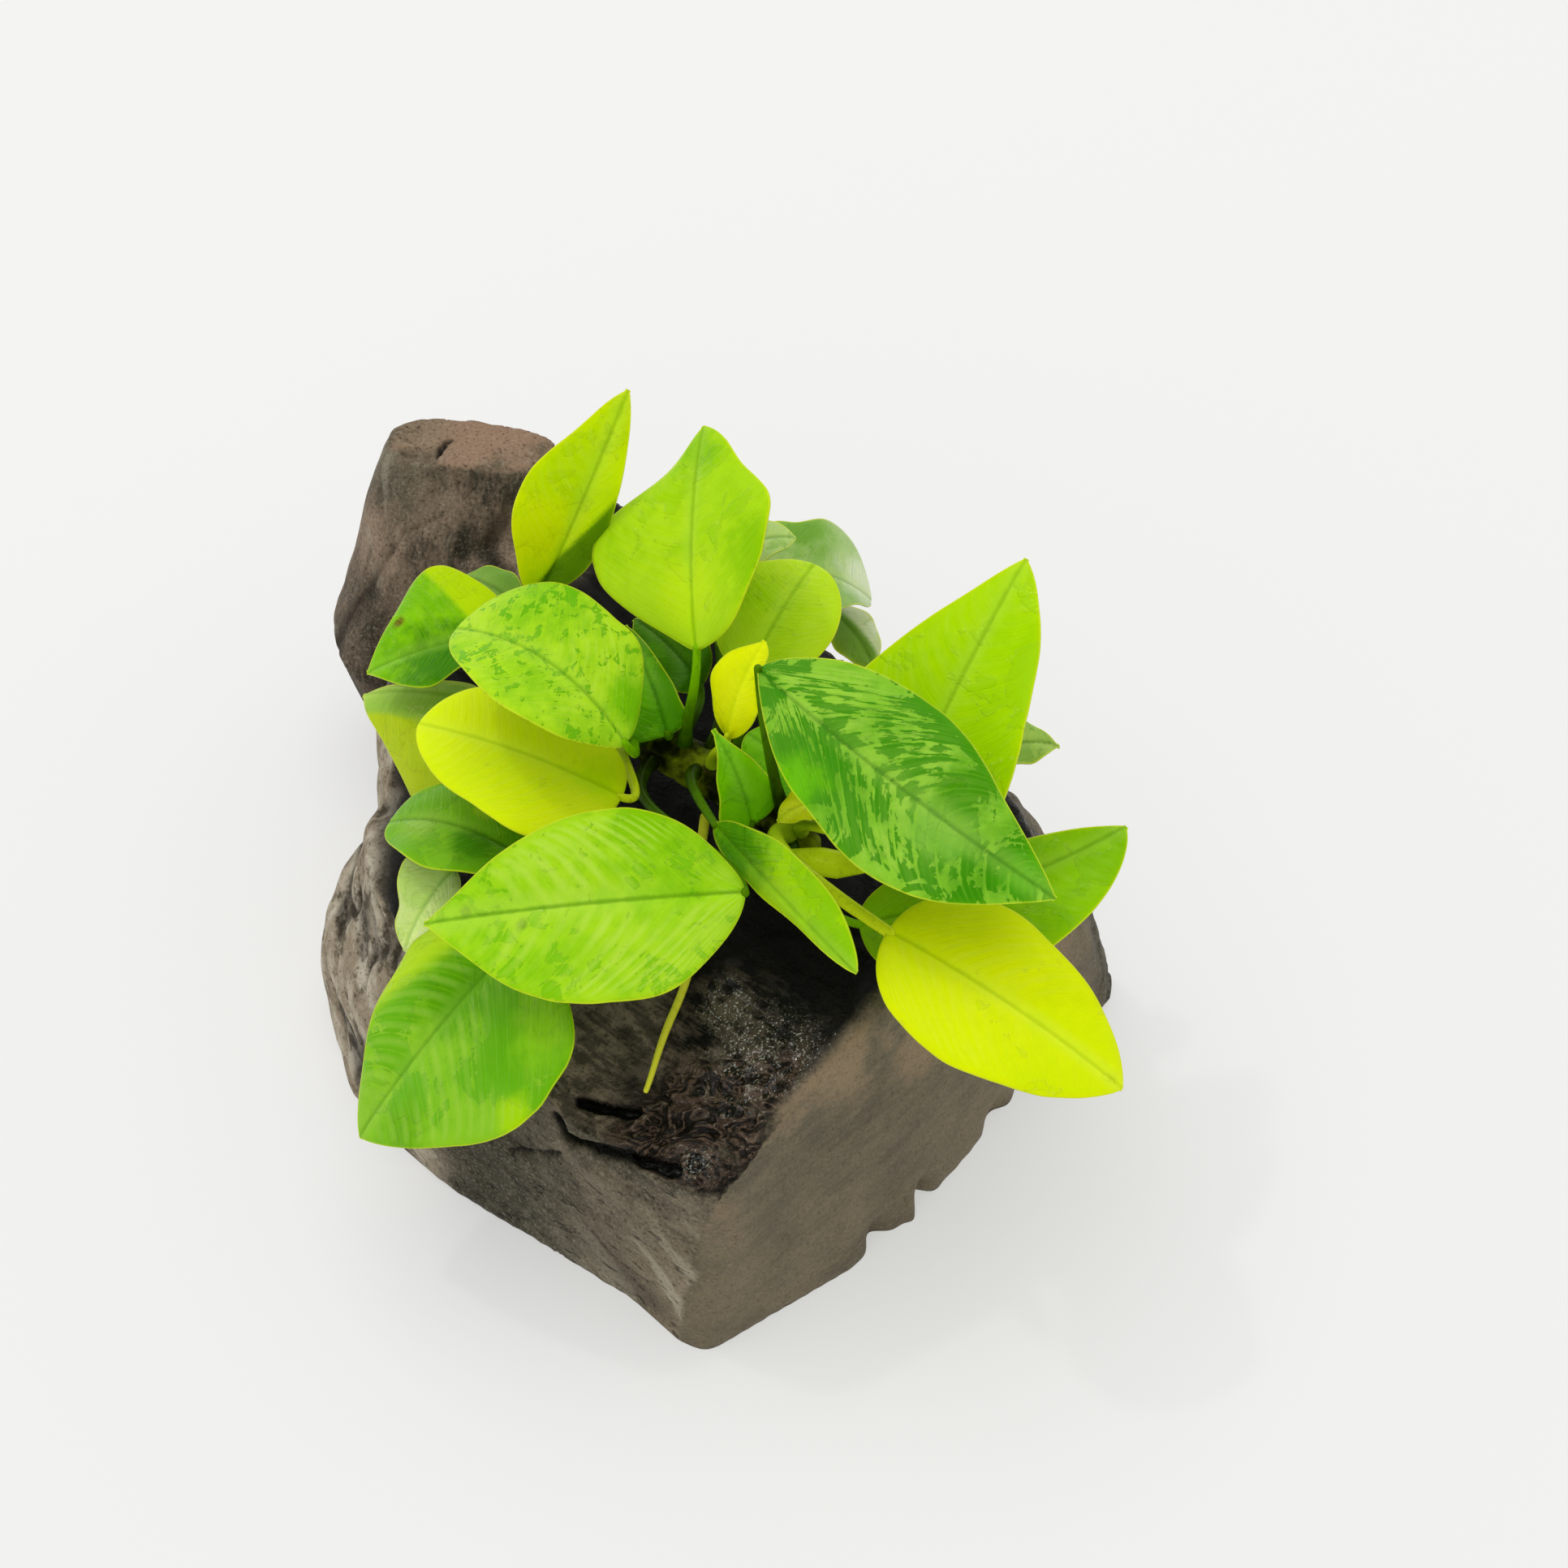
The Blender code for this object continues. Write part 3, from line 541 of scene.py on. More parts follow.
leafGloss = dict(dry=0.45, wet=0.12, film=0.05, filmEdge=0.006, bead=0.02, sheenTone=(0.66, 0.8, 0.2),
                 rimTone=(214, 232, 50), rimWidth=0.3, backShare=0.7)
leafSheen = dict(Specular_IOR_Level=0.12, Specular_Tint=(0.9, 1, 0.12))
leafGlow = dict(Subsurface_Weight=0.5, Subsurface_Radius=(1, 1, 0.1), Subsurface_Scale=2 * mm)


def leafFinish(name, blade):
    row = blade.row
    dark = tone(*row["dark"])
    light = tone(*row["light"])
    # the midrib's darker line: its own tone and painted shade in its groove
    ribToneAndShade = tuple(c * 0.66 for c in dark)
    # the tone of the painted sheen: a pale reflection laid on the dry skin
    sheenTone = tuple(blendTo(a, b, 0.35) for a, b in zip(light, leafGloss["sheenTone"]))
    back = tuple(blendTo(a, b, 0.5) * leafGloss["backShare"] for a, b in zip(dark, light))
    # the turned part's tone: painted light and shade for how it meets the light
    foldPaintedLight = tone(*row["crease"][2]) if row["crease"] else dark
    paint = Paint(name + "_skin")
    place = paint.stretched(paint.place(), (1, 1, 1), (blade.seed * 0.7, blade.seed * 0.4, 0))
    cloud = paint.noise(place, 45, 3)
    mottle = paint.noise(place, 340, 4, 0.6)
    speck = paint.noise(place, 1900, 2)
    patches = paint.noise(place, 1000 / row["patch"], 4, 0.6, distortion=0.6)
    vein = paint.field("vein") + (cloud - 0.5) * 0.05
    side = paint.field("side")
    rib = side.math("ABSOLUTE")
    edge = paint.field("edge")
    across, along = paint.sheet()
    strips = {0: vein * (leafShape["veins"] * 2.2), 1: across * 7, 2: blade.seed * 3}
    comb = paint.noise(paint.node("ShaderNodeCombineXYZ", {}, strips), 1.0, 3, 0.6)
    mainVein = (vein * leafShape["veins"]).math("PINGPONG", 0.5) * 2
    fineVein = (vein * (leafShape["veins"] * 3)).math("PINGPONG", 0.5) * 2
    mainLine = mainVein.between(0.22, 0.0) * rib.between(0.2, 2.0) * edge.between(0.2, 2.0)
    fineLine = fineVein.between(0.6, 0.0)
    ribLine = (rib + (mottle - 0.5) * 0.5).between(0.7, 0.05)
    # painted sheen on either side of the midrib
    ribSheen = rib.between(2.2 + row["haze"] * 3, 0.6) * along.between(0.1, 0.5)
    rimLine = edge.between(leafGloss["rimWidth"], leafGloss["rimWidth"] * 0.4)

    combing = edge.between(1.0, 5.0) * along.between(0.8, 0.5) * (row["comb"] * 0.7)
    pattern = patches + (comb - patches) * combing + mainLine * 0.05 + (cloud - 0.5) * 0.25
    edgeAt = 0.3 + row["wet"] * 0.4
    film = pattern.between(edgeAt + leafGloss["filmEdge"], edgeAt - leafGloss["filmEdge"])
    shore = pattern.between(edgeAt + leafGloss["bead"], edgeAt) * (1 - film)    # round the film
    inland = edge.between(0.4, 2.5)
    # painted sheen: a pale wash over the skin and paler stripes between the side veins
    sheenVeil = comb.between(0.42, 0.66) * cloud.between(0.4, 0.58) * inland * row["haze"]
    bands = mainVein.between(0.25, 0.95) * rib.between(0.8, 3.0) * inland * cloud.between(0.36, 0.52)
    marks = []
    # places of painted shade and painted light, and a few of the leaf's own spots
    for start, left, reach, *colour in row["marks"]:
        away = (((along - start) * blade.length) ** 2 + (side - left) ** 2) ** 0.5 + (mottle - 0.5) * reach
        marks.append((tone(*colour), away.between(reach, reach * 0.2)))
    base = paint.layered(
        dark,
        (light, (cloud * 0.6 + mottle * 0.4).between(0.34, 0.6) * 0.65 + 0.3),
        # painted sheen, with painted glints along the films' edges
        (sheenTone, sheenVeil + shore * speck.between(0.45, 0.6) * 0.6),
        (dark, film * row["stain"]),
        *marks,
        (sheenTone, bands * row["bands"]),
        (light, mainLine * 0.16 + fineLine * 0.08),
        (sheenTone, ribSheen * row["midrib"] * 0.6),
        # the midrib's darker line, partly painted shade in its groove
        (ribToneAndShade, ribLine * row["midrib"]),
        (dark, speck.between(0.6, 0.8) * 0.3),
        # the turned part in its painted light and shade
        (foldPaintedLight, paint.field("beyond") * 0.85),
        (tone(*leafGloss["rimTone"]), rimLine * 0.5),
        (back, paint.field("under")))
    wetness = film + shore
    rough = leafGloss["dry"] + (mottle - 0.5) * 0.2 - wetness * (leafGloss["dry"] - leafGloss["wet"])
    relief = fineLine * 0.2 - mainLine * 0.6 + mottle * 0.5 + film * 1.4 + shore * speck * 2
    return paint.finish(
        Base_Color=base, Roughness=rough, Normal=paint.bump(relief, 0.7, 0.16),
        Coat_Weight=wetness * leafGloss["film"], Coat_Roughness=0.05, **leafSheen, **leafGlow)


for leafName in leafTable:
    addBlade(leafName)
print("leaf blades made:", len(leafTable))


# Rhizome, stalks, young leaf and roots

rhizomeShape = dict(
    path=[(-27, 11, 61.5), (-19, 5, 63), (-10, -2, 63.5), (0, -9, 63), (9, -16, 62.5), (14, -21, 61.5)],
    radius=3.9, steps=120, sides=32, endTaper=0.45, rings=17, ringDepth=0.35)
stalkShape = dict(steps=28, sides=14, bend=0.36, base=1.15, taper=0.4, sheath=0.45, sheathEnd=0.16,
                  foot=0.8, overlap=0.3, groove=0.12)


def rhizomeFrame(share):    # the place on the rhizome's axis and its direction there
    steps = 40
    path = smoothPath(rhizomeShape["path"], steps)
    i = min(int(share * steps), steps - 1)
    return blendTo(path[i], path[i + 1], share * steps - i), unit(path[i + 1] - path[i])


# Rhizome: a tube whose radius swells between rings, where old leaves left their scars
def addRhizome():
    steps = rhizomeShape["steps"]
    path = smoothPath(rhizomeShape["path"], steps)
    place = np.linspace(-1, 1, steps + 1)
    radius = rhizomeShape["radius"] * (1 - rhizomeShape["endTaper"] * np.abs(place) ** 3)

    def relief(along, around):
        ring = np.abs(np.sin(np.pi * rhizomeShape["rings"] * along + 0.4 * np.sin(around))) ** 0.5
        knobs = 0.12 * np.sin(5 * around + 9 * along) + 0.1 * np.sin(9 * around - 23 * along)
        return rhizomeShape["ringDepth"] * (ring - 1) + knobs

    surface = tubeSurface(path, radius, rhizomeShape["sides"], relief)
    makePiece("rhizome_stem", surface, "rhizome", rhizomeFinish())


def rhizomeFinish():
    paint = Paint("rhizome_skin")
    patches = paint.noise(paint.place(), 160, 4)
    specks = paint.noise(paint.place(), 900, 3)
    base = paint.layered(
        tone(16, 20, 2),
        (tone(116, 132, 10), patches.between(0.42, 0.66)),
        (tone(24, 20, 10), specks.between(0.55, 0.75) * 0.7))
    return paint.finish(
        Base_Color=base, Roughness=0.5 - patches * 0.3, Normal=paint.bump(patches + specks * 0.4, 0.5, 0.3),
        Specular_IOR_Level=0.1, Specular_Tint=leafSheen["Specular_Tint"])


def stemFinish(name, low, high):    # low is the tone at the stem's foot, high at its end
    paint = Paint(name)
    place = paint.place()
    ends = paint.sheet()[1]
    patches = paint.noise(place, 240, 3)
    threads = paint.noise(paint.stretched(place, (1, 1, 0.25)), 1500, 2)
    base = paint.layered(
        tone(*low),
        (tone(*high), (ends + (patches - 0.5) * 0.4).between(0.05, 0.75)),
        (tuple(c * 0.5 for c in tone(*low)), threads.between(0.5, 0.8) * 0.35))
    return paint.finish(
        Base_Color=base, Roughness=0.36 - patches * 0.3, Normal=paint.bump(threads, 0.3, 0.1), **leafSheen)


stemFinishes = {name: stemFinish(*values) for name, values in dict(
    young=("young_stalk", (150, 186, 24), (210, 228, 24)),
    green=("green_stalk", (34, 66, 0), (118, 180, 0)),
    dark=("dark_stalk", (22, 32, 0), (76, 122, 0)),
    root=("fresh_root", (206, 210, 44), (226, 226, 60)),
    brownRoot=("old_root", (58, 46, 16), (96, 84, 30)),
    sheath=("young_sheath", (150, 186, 10), (196, 220, 20))).items()}


# Stalk: a cubic curve from the rhizome's side to the blade's base. Its radius falls evenly and has a
# sheath at the foot, a bell curve, and a groove runs along it, (cos of the angle)^4 deep.
def addStalk(name):
    blade = Blade(name)
    row = blade.row
    origin, along = rhizomeFrame(row["at"])
    side = unit(np.cross(vec(0, 0, 1), along))
    side = side if side[1] > 0 else -side
    lean = math.radians(row["lean"])
    outward = unit(vec(0, 0, math.cos(lean)) + side * math.sin(lean))
    start = origin + outward * (rhizomeShape["radius"] * stalkShape["foot"])
    span = apart(blade.base, start)
    into = unit(blendTo(unit(blade.base - start), blade.direction(0.02), row["follow"]))
    end = blade.base + into * stalkShape["overlap"]
    bend = span * stalkShape["bend"]
    a, b, c, d = start, start + outward * bend, end - into * bend, end
    t = np.linspace(0, 1, stalkShape["steps"] + 1)
    u = t[:, None]
    path = a * (1 - u) ** 3 + b * 3 * u * (1 - u) ** 2 + c * 3 * u ** 2 * (1 - u) + d * u ** 3
    sheath = stalkShape["sheath"] * fall(t, stalkShape["sheathEnd"])
    radius = row["radius"] * (stalkShape["base"] - stalkShape["taper"] * t + sheath)
    reference = unit(np.cross(outward, unit(end - start) + vec(0.01, 0.02, 0.03)))
    groove = lambda length, around: -stalkShape["groove"] * np.maximum(np.cos(around), 0) ** 4
    surface = tubeSurface(path, radius, stalkShape["sides"], groove, reference=reference)
    stalk = name.replace("leaf", "stalk")
    makePiece(stalk + "_stem", surface, stalk, stemFinishes[row["stalk"]])


youngLeafShape = dict(
    path=[(7, -25.5, 64.4), (10, -27, 65.2), (14, -28, 65.8), (18, -29.3, 66.4), (23.5, -31, 67.2)],
    radius=[1.1, 1.4, 1.9, 2.5, 2.4, 0.5], flat=0.7, step=0.35, steps=40, sides=28)


# Young leaf: a rolled sheath, flattened and pointed, with the roll's free edge as a step round it
def addYoungLeaf():
    row = youngLeafShape
    step = lambda length, around: row["step"] * ((around + 2 * length) % circle) / circle
    path = smoothPath(row["path"], row["steps"])
    radius = spread(row["radius"], row["steps"])
    surface = tubeSurface(path, radius, row["sides"], step, row["flat"])
    makePiece("young_leaf_sheath", surface, "young_leaf", stemFinishes["sheath"])


rootTable = {    # the radii are at even places along the path
    "root_01": dict(
        path=[(-3, -14, 59.5), (-4, -22, 58.5), (-5, -31, 56.5), (-5, -41, 54), (-8.5, -50, 51),
              (-12, -59, 46.3)],
        radius=[0.9, 0.8, 0.75, 0.7, 0.65, 0.45], finish="root"),
    "root_02": dict(
        path=[(1, -17.5, 60), (4.6, -20, 59), (8.5, -22.5, 58.8), (12.5, -26, 59.5)],
        radius=[0.7, 0.65, 0.6, 0.45], finish="brownRoot"),
}
rootShape = dict(steps=60, sides=12, wander=0.25, lift=0.1)


# Roots: tubes along smooth paths, which noise makes wander sideways and up and down
def addRoots():
    for name, row in rootTable.items():
        path = smoothPath(row["path"], rootShape["steps"])
        aside = rootShape["wander"] * bumps(path, 6, 3)
        rise = rootShape["lift"] * bumps(path, 4, 5)
        path = path + np.stack([aside, 0 * aside, rise], 1)
        surface = tubeSurface(path, spread(row["radius"], rootShape["steps"]), rootShape["sides"])
        makePiece(name + "_strand", surface, name, stemFinishes[row["finish"]])


addRhizome()
for leafName in leafTable:
    addStalk(leafName)
addYoungLeaf()
addRoots()
print("rhizome, stalks, young leaf and roots made")


# Driftwood: the block and its limb as one surface, in a voxel copy of the two solids that is cut
# finer where the wood is wrinkled. Each face has its own grain, along which its relief runs; a lump is
# its size, its stretch along the grain and its rise, and a groove its spacing, stretch and depth.

woodShape = dict(voxel=0.8, limbShift=(0.3, -0.42, 0), smoothing=4, flatBelow=0.45, finest=(-2, -62, 46),
                 fineReach=27)
woodFaces = {    # each face's grain, lumps and grooves
    "cut": ((1, 0.1, 0), [(6, 2, 0.2), (2.5, 3, 0.12)], []),
    "limb": ((0.1, 0, 1), [(5, 8, 0.9), (2.4, 6, 0.35)], [(8, 6, 0.5)]),
    "top": ((0.8, -0.6, 0), [(14, 1, 0.7), (4, 2.5, 0.4), (1.8, 1.5, 0.28)], [(6, 4, 0.35)]),
    "sawn": ((0.71, 0.7, 0.1), [(14, 1, 0.35), (3, 4, 0.07)], []),
    "front": ((0.76, -0.65, -0.2), [(9, 1.6, 0.7), (3.4, 2, 0.28), (1.6, 1.6, 0.16)], [(7, 2.5, 0.3)]),
    "flank": ((0.3, -0.7, -0.65), [(7, 2.5, 1.2), (3, 2.5, 0.55)], [(8, 3, 0.7)]),
    "back": ((0.2, 0.2, 1), [(6, 5, 0.8), (2.5, 3, 0.3)], [(9, 5, 0.5)]),
}
woodCreases = [    # each crack's path, width and depth
    ([(-22.5, -58.4, 42.1), (-18, -60, 42.9), (-13.9, -61.2, 43.4)], 1, 2.4),
    ([(-26.4, -59.4, 39.1), (-25, -60.9, 36.3), (-21.9, -63.3, 37.2), (-13.8, -68.3, 41.3),
      (-7.2, -71.3, 42.2)], 1.2, 2.1),
    ([(-35.1, -54.4, 22), (-30, -58, 26.5), (-26.3, -60.4, 30.2)], 0.4, 0.8),
    ([(-50.7, 59, 72), (-50.4, 60.8, 72), (-49.2, 62.2, 72)], 0.5, 1.6),
]
woodKnots = [    # each knot's place, size, spacing of rings and height
    ((-3.6, -71, 43.3), 3, 2.3, 0.9),
    ((1.6, -64.3, 48.1), 2.2, 1.2, 0.4),
    ((-3.6, -59.8, 47.1), 1.8, 1.1, 0.35),
    ((8, -68.7, 50.1), 1.6, 1.1, 0.3),
]
# where the wet top catches the light, and how far
woodGlints = [((6.5, -57.5, 53), 9), ((1, -48, 53), 5), ((-3.6, -71, 43.3), 3)]
woodEdges = [    # edges worn rounder: a path along each, how far from it, and how many rounds of smoothing
    ([(1, -76, 48), (-1, -78, 30), (-3, -80, 6)], 9, 50),
    ([(4, -74, 48), (25, -53.5, 60), (45, -33, 59)], 4, 14),
]
topEdge = woodEdges[1][0]    # between the top and the sawn face
woodRipples = dict(middle=(-1, -65), reach=(17, 9), spacing=3.6, height=0.42, fine=0.16, onFront=0.35)
woodStep = dict(right=-50.6, back=60.5, soft=1.2, depth=1.7)    # the cut's front left corner lies lower
# scallops along the foot of the sawn face: place, reach and depth, where a negative depth stands out
woodBites = [((26.5, -58.7), 2.3, 2.8), ((33.6, -50), 1.7, 4.2), ((31.4, -53.4), 1.3, -0.9),
             ((47.5, -34), 3, 2), ((52, -27.5), 2, 1.3)]
sawnNormal = vec(0.704, -0.707, 0.06)    # the way the sawn face looks
frontNormal = vec(-0.65, -0.76, 0)    # and the front


def voxelCopy():
    bm = bmesh.new()
    for node, shift in (("driftwood_block", (0, 0, 0)), ("driftwood_limb", woodShape["limbShift"])):
        solid = frame["nodes"][node].data.copy()
        solid.transform(Matrix.Translation(Vector(shift) * mm))    # the limb closes its gap to the block
        bm.from_mesh(solid)
        bpy.data.meshes.remove(solid)
    bmesh.ops.remove_doubles(bm, verts=bm.verts, dist=0.002 * mm)
    mesh = bpy.data.meshes.new("driftwood_solid")
    bm.to_mesh(mesh)
    bm.free()
    solid = addThing("driftwood_solid", mesh)
    remesh = solid.modifiers.new("voxels", "REMESH")
    remesh.mode = "VOXEL"
    remesh.voxel_size = woodShape["voxel"] * mm
    bpy.context.view_layer.update()
    fine = bpy.data.meshes.new_from_object(solid.evaluated_get(bpy.context.evaluated_depsgraph_get()))
    bpy.data.objects.remove(solid, do_unlink=True)
    return fine


def cutFiner(mesh):    # halves the edges near the wrinkled corner, and joins the flat underside's faces
    bm = bmesh.new()
    bm.from_mesh(mesh)
    middle = Vector(woodShape["finest"]) * mm
    reach = woodShape["fineReach"] * mm
    near = [edge for edge in bm.edges if (edge.verts[0].co - middle).length < reach]
    bmesh.ops.subdivide_edges(bm, edges=near, cuts=1, use_grid_fill=True)
    low = woodShape["flatBelow"] * mm
    flat = [face for face in bm.faces if face.normal.z < -0.9 and all(v.co.z < low for v in face.verts)]
    bmesh.ops.dissolve_faces(bm, faces=flat, use_verts=True)
    bm.to_mesh(mesh)
    bm.free()


def smoothed(points, edges, rounds):    # each round moves a point halfway to its neighbours' mean
    ends = edges.T.ravel()
    others = edges.T[::-1].ravel()
    count = np.maximum(np.bincount(ends, minlength=len(points)), 1)
    for _ in range(rounds):
        total = [np.bincount(ends, column[others], len(points)) for column in points.T]
        points = blendTo(points, (total / count).T, 0.5)
    return points


def grainSpace(points, direction, stretch):    # squeezed along the grain, so that noise runs lengthwise
    direction = unit(vec(*direction))
    return points - direction * (points @ direction)[:, None] * (1 - 1 / stretch)


def woodMasks(points, normals):    # the share of each face at each point; a later face gets what is left
    x, y, z = points.T
    normals = normals + 0.16 * np.stack([roughly(points, 5, 3, seed) for seed in (51, 54, 57)], 1)
    # the sawn face's tone goes round the front corner and over the top's worn edge
    wrap = 0.5 * ease(34, 0, z) * ease(14, 2, np.hypot(x + 3, y + 79))
    worn = pathDistance(points, topEdge) + 0.9 * bumps(points, 5, 58)
    worn = 0.9 * ease(3.8, 1.2, worn) * ease(-72, -66, y)
    sawn = ease(0.42 - wrap, 0.72 - wrap, normals @ sawnNormal) * ease(-10, -5, x) * ease(-8, -14, y)
    share = {
        "cut": ease(0.55, 0.85, normals[:, 2]) * ease(64, 68, z) * ease(36, 42, y),
        "limb": ease(36, 44, y) * ease(-22, -30, x),
        "top": ease(0.48, 0.78, normals[:, 2]) * ease(35, 42, z) * ease(-61, -55, x) * (1 - worn),
        "sawn": np.maximum(sawn, worn),
        "front": ease(0.35, 0.75, normals @ frontNormal) * ease(-52, -44, x),
        "flank": ease(-0.2, -0.5, normals[:, 0]) * ease(-44, -50, x),
    }
    left = np.ones(len(points))
    masks = {}
    for name, value in share.items():
        masks[name] = value * left
        left = left - masks[name]
    masks["back"] = left
    return masks


def pathDistance(points, path):    # to the nearest point of a bent line
    nearest = np.full(len(points), 1e9)
    for start, end in zip(path[:-1], path[1:]):
        run = vec(*end) - vec(*start)
        t = np.clip((points - start) @ run / (run @ run), 0, 1)
        nearest = np.minimum(nearest, apart(points, start + t[:, None] * run))
    return nearest


# Relief along the normal: each face's lumps and grooves, ripples that wind round the knots near the
# front corner, the knots' rings, the cut's lower corner and the cracks. The fields tell the finish where
# the cracks, ripples, rings and glints are and how high the relief stands.
def woodRelief(points, masks):
    warped = points + 1.6 * np.stack([bumps(points, 9, seed) for seed in (31, 32, 33)], 1)
    height = np.zeros(len(points))
    for name, mask in masks.items():
        grain, lumps, grooves = woodFaces[name]
        on = mask > 0.01
        part = np.zeros(on.sum())
        for i, (size, stretch, rise) in enumerate(lumps):
            part = part + rise * bumps(grainSpace(warped[on], grain, stretch), size, 40 + i)
        for i, (size, stretch, depth) in enumerate(grooves):
            part = part - depth * fall(bumps(grainSpace(warped[on], grain, stretch), size, 60 + i), 0.09)
        height[on] += mask[on] * part
    x, y, z = points.T
    row = woodRipples
    run = (0.25 * x + 0.9 * y + 0.2 * z) / row["spacing"]
    run = run + 2.2 * bumps(points, 6.5, 71) + 0.8 * bumps(points, 3, 72)
    window = fall(x - row["middle"][0], row["reach"][0]) * fall(y - row["middle"][1], row["reach"][1])
    window = window * (masks["top"] + row["onFront"] * masks["front"])
    wave = row["height"] * np.sin(circle * run) + row["fine"] * np.sin(5 * np.pi * run + 1)
    height = height + wave * window
    ring = np.zeros(len(points))
    for at, size, spacing, rise in woodKnots:
        r = apart(points, at) + 0.5 * bumps(points, 2.5, 73)
        fade = fall(r, size)
        wave = np.cos(circle * r / spacing)
        height = height * (1 - 0.8 * fade) + rise * (0.6 + wave) * fade
        ring = np.maximum(ring, fade * (1 - wave))
    soft = -woodStep["soft"]
    sunk = masks["cut"] * ease(0, soft, x - woodStep["right"]) * ease(0, soft, y - woodStep["back"])
    height = height - woodStep["depth"] * sunk
    crease = np.zeros(len(points))
    for path, width, depth in woodCreases:
        away = pathDistance(points + 0.35 * bumps(points, 2.2, 75)[:, None], path)
        crease = np.maximum(crease, depth * np.exp(-(away / width) ** 4))
    shine = np.zeros(len(points))
    for at, reach in woodGlints:
        shine = np.maximum(shine, fall(apart(points, at), reach))
    height = height - crease
    fields = {"crease": ease(0.1, 1.2, crease), "rippled": window, "ring": ring, "shine": shine,
              "height": height + woodStep["depth"] * sunk, "cutFace": masks["cut"] * (1 - sunk),
              "limbFace": masks["limb"] + masks["cut"] * sunk}
    fields.update({name + "Face": masks[name] for name in ("top", "sawn", "front", "flank")})
    return height, fields


# The voxel copy, smoothed and rounder along its worn edges, is moved along its normal by the relief and
# bitten into along the sawn face's foot. Towards the floor the relief is weaker sideways and ends upwards.
def addDriftwood():
    mesh = voxelCopy()
    cutFiner(mesh)
    edges = readOff(mesh.edges, "vertices", 2, np.int32)
    points = readOff(mesh.vertices, "co", 3, np.float32).astype(float) / mm
    onFloor = points[:, 2] < woodShape["flatBelow"]
    points = smoothed(points, edges, woodShape["smoothing"])
    for path, reach, rounds in woodEdges:
        near = ease(reach, reach * 0.3, pathDistance(points, path))[:, None]
        points = blendTo(points, smoothed(points, edges, rounds), near)
    points[onFloor, 2] = 0
    store(mesh.vertices, "co", points * mm)
    mesh.update()
    normals = readOff(mesh.vertex_normals, "vector", 3, np.float32).astype(float)
    masks = woodMasks(points, normals)
    height, fields = woodRelief(points, masks)
    low = ease(0, 2.5, points[:, 2])
    moved = points + normals * height[:, None] * np.stack([0.35 + 0.65 * low, 0.35 + 0.65 * low, low], 1)
    for at, reach, depth in woodBites:
        bite = depth * fall(apart(points[:, :2], at), reach) * ease(9, 2, points[:, 2])
        moved = moved - unit(sawnNormal * vec(1, 1, 0)) * bite[:, None]
    moved[:, 2] = np.maximum(moved[:, 2], 0)
    moved[onFloor, 2] = 0
    store(mesh.vertices, "co", moved * mm)
    mesh.shade_smooth()
    addFields(mesh, fields)
    mesh.update()
    addPiece("driftwood", mesh, ["driftwood_block", "driftwood_limb"], woodFinish())
    print("driftwood made:", len(mesh.polygons), "faces")


woodTones = dict(
    black=(6, 5, 2), wet=(94, 82, 66), paintedGlint=(214, 214, 200), troughShade=(22, 16, 9), soaked=(96, 76, 60),
    dark=(56, 51, 39), brown=(88, 78, 60), stone=(140, 126, 104), grey=(106, 100, 82), sawn=(122, 110, 88),
    warm=(150, 128, 100), slate=(94, 88, 72), tan=(142, 122, 102), cut=(136, 116, 94),
    russet=(148, 118, 96), pale=(172, 166, 144), bleachedAndLit=(192, 182, 162))
woodGloss = dict(dry=0.66, soaked=0.36, film=0.16, coat=0.5)


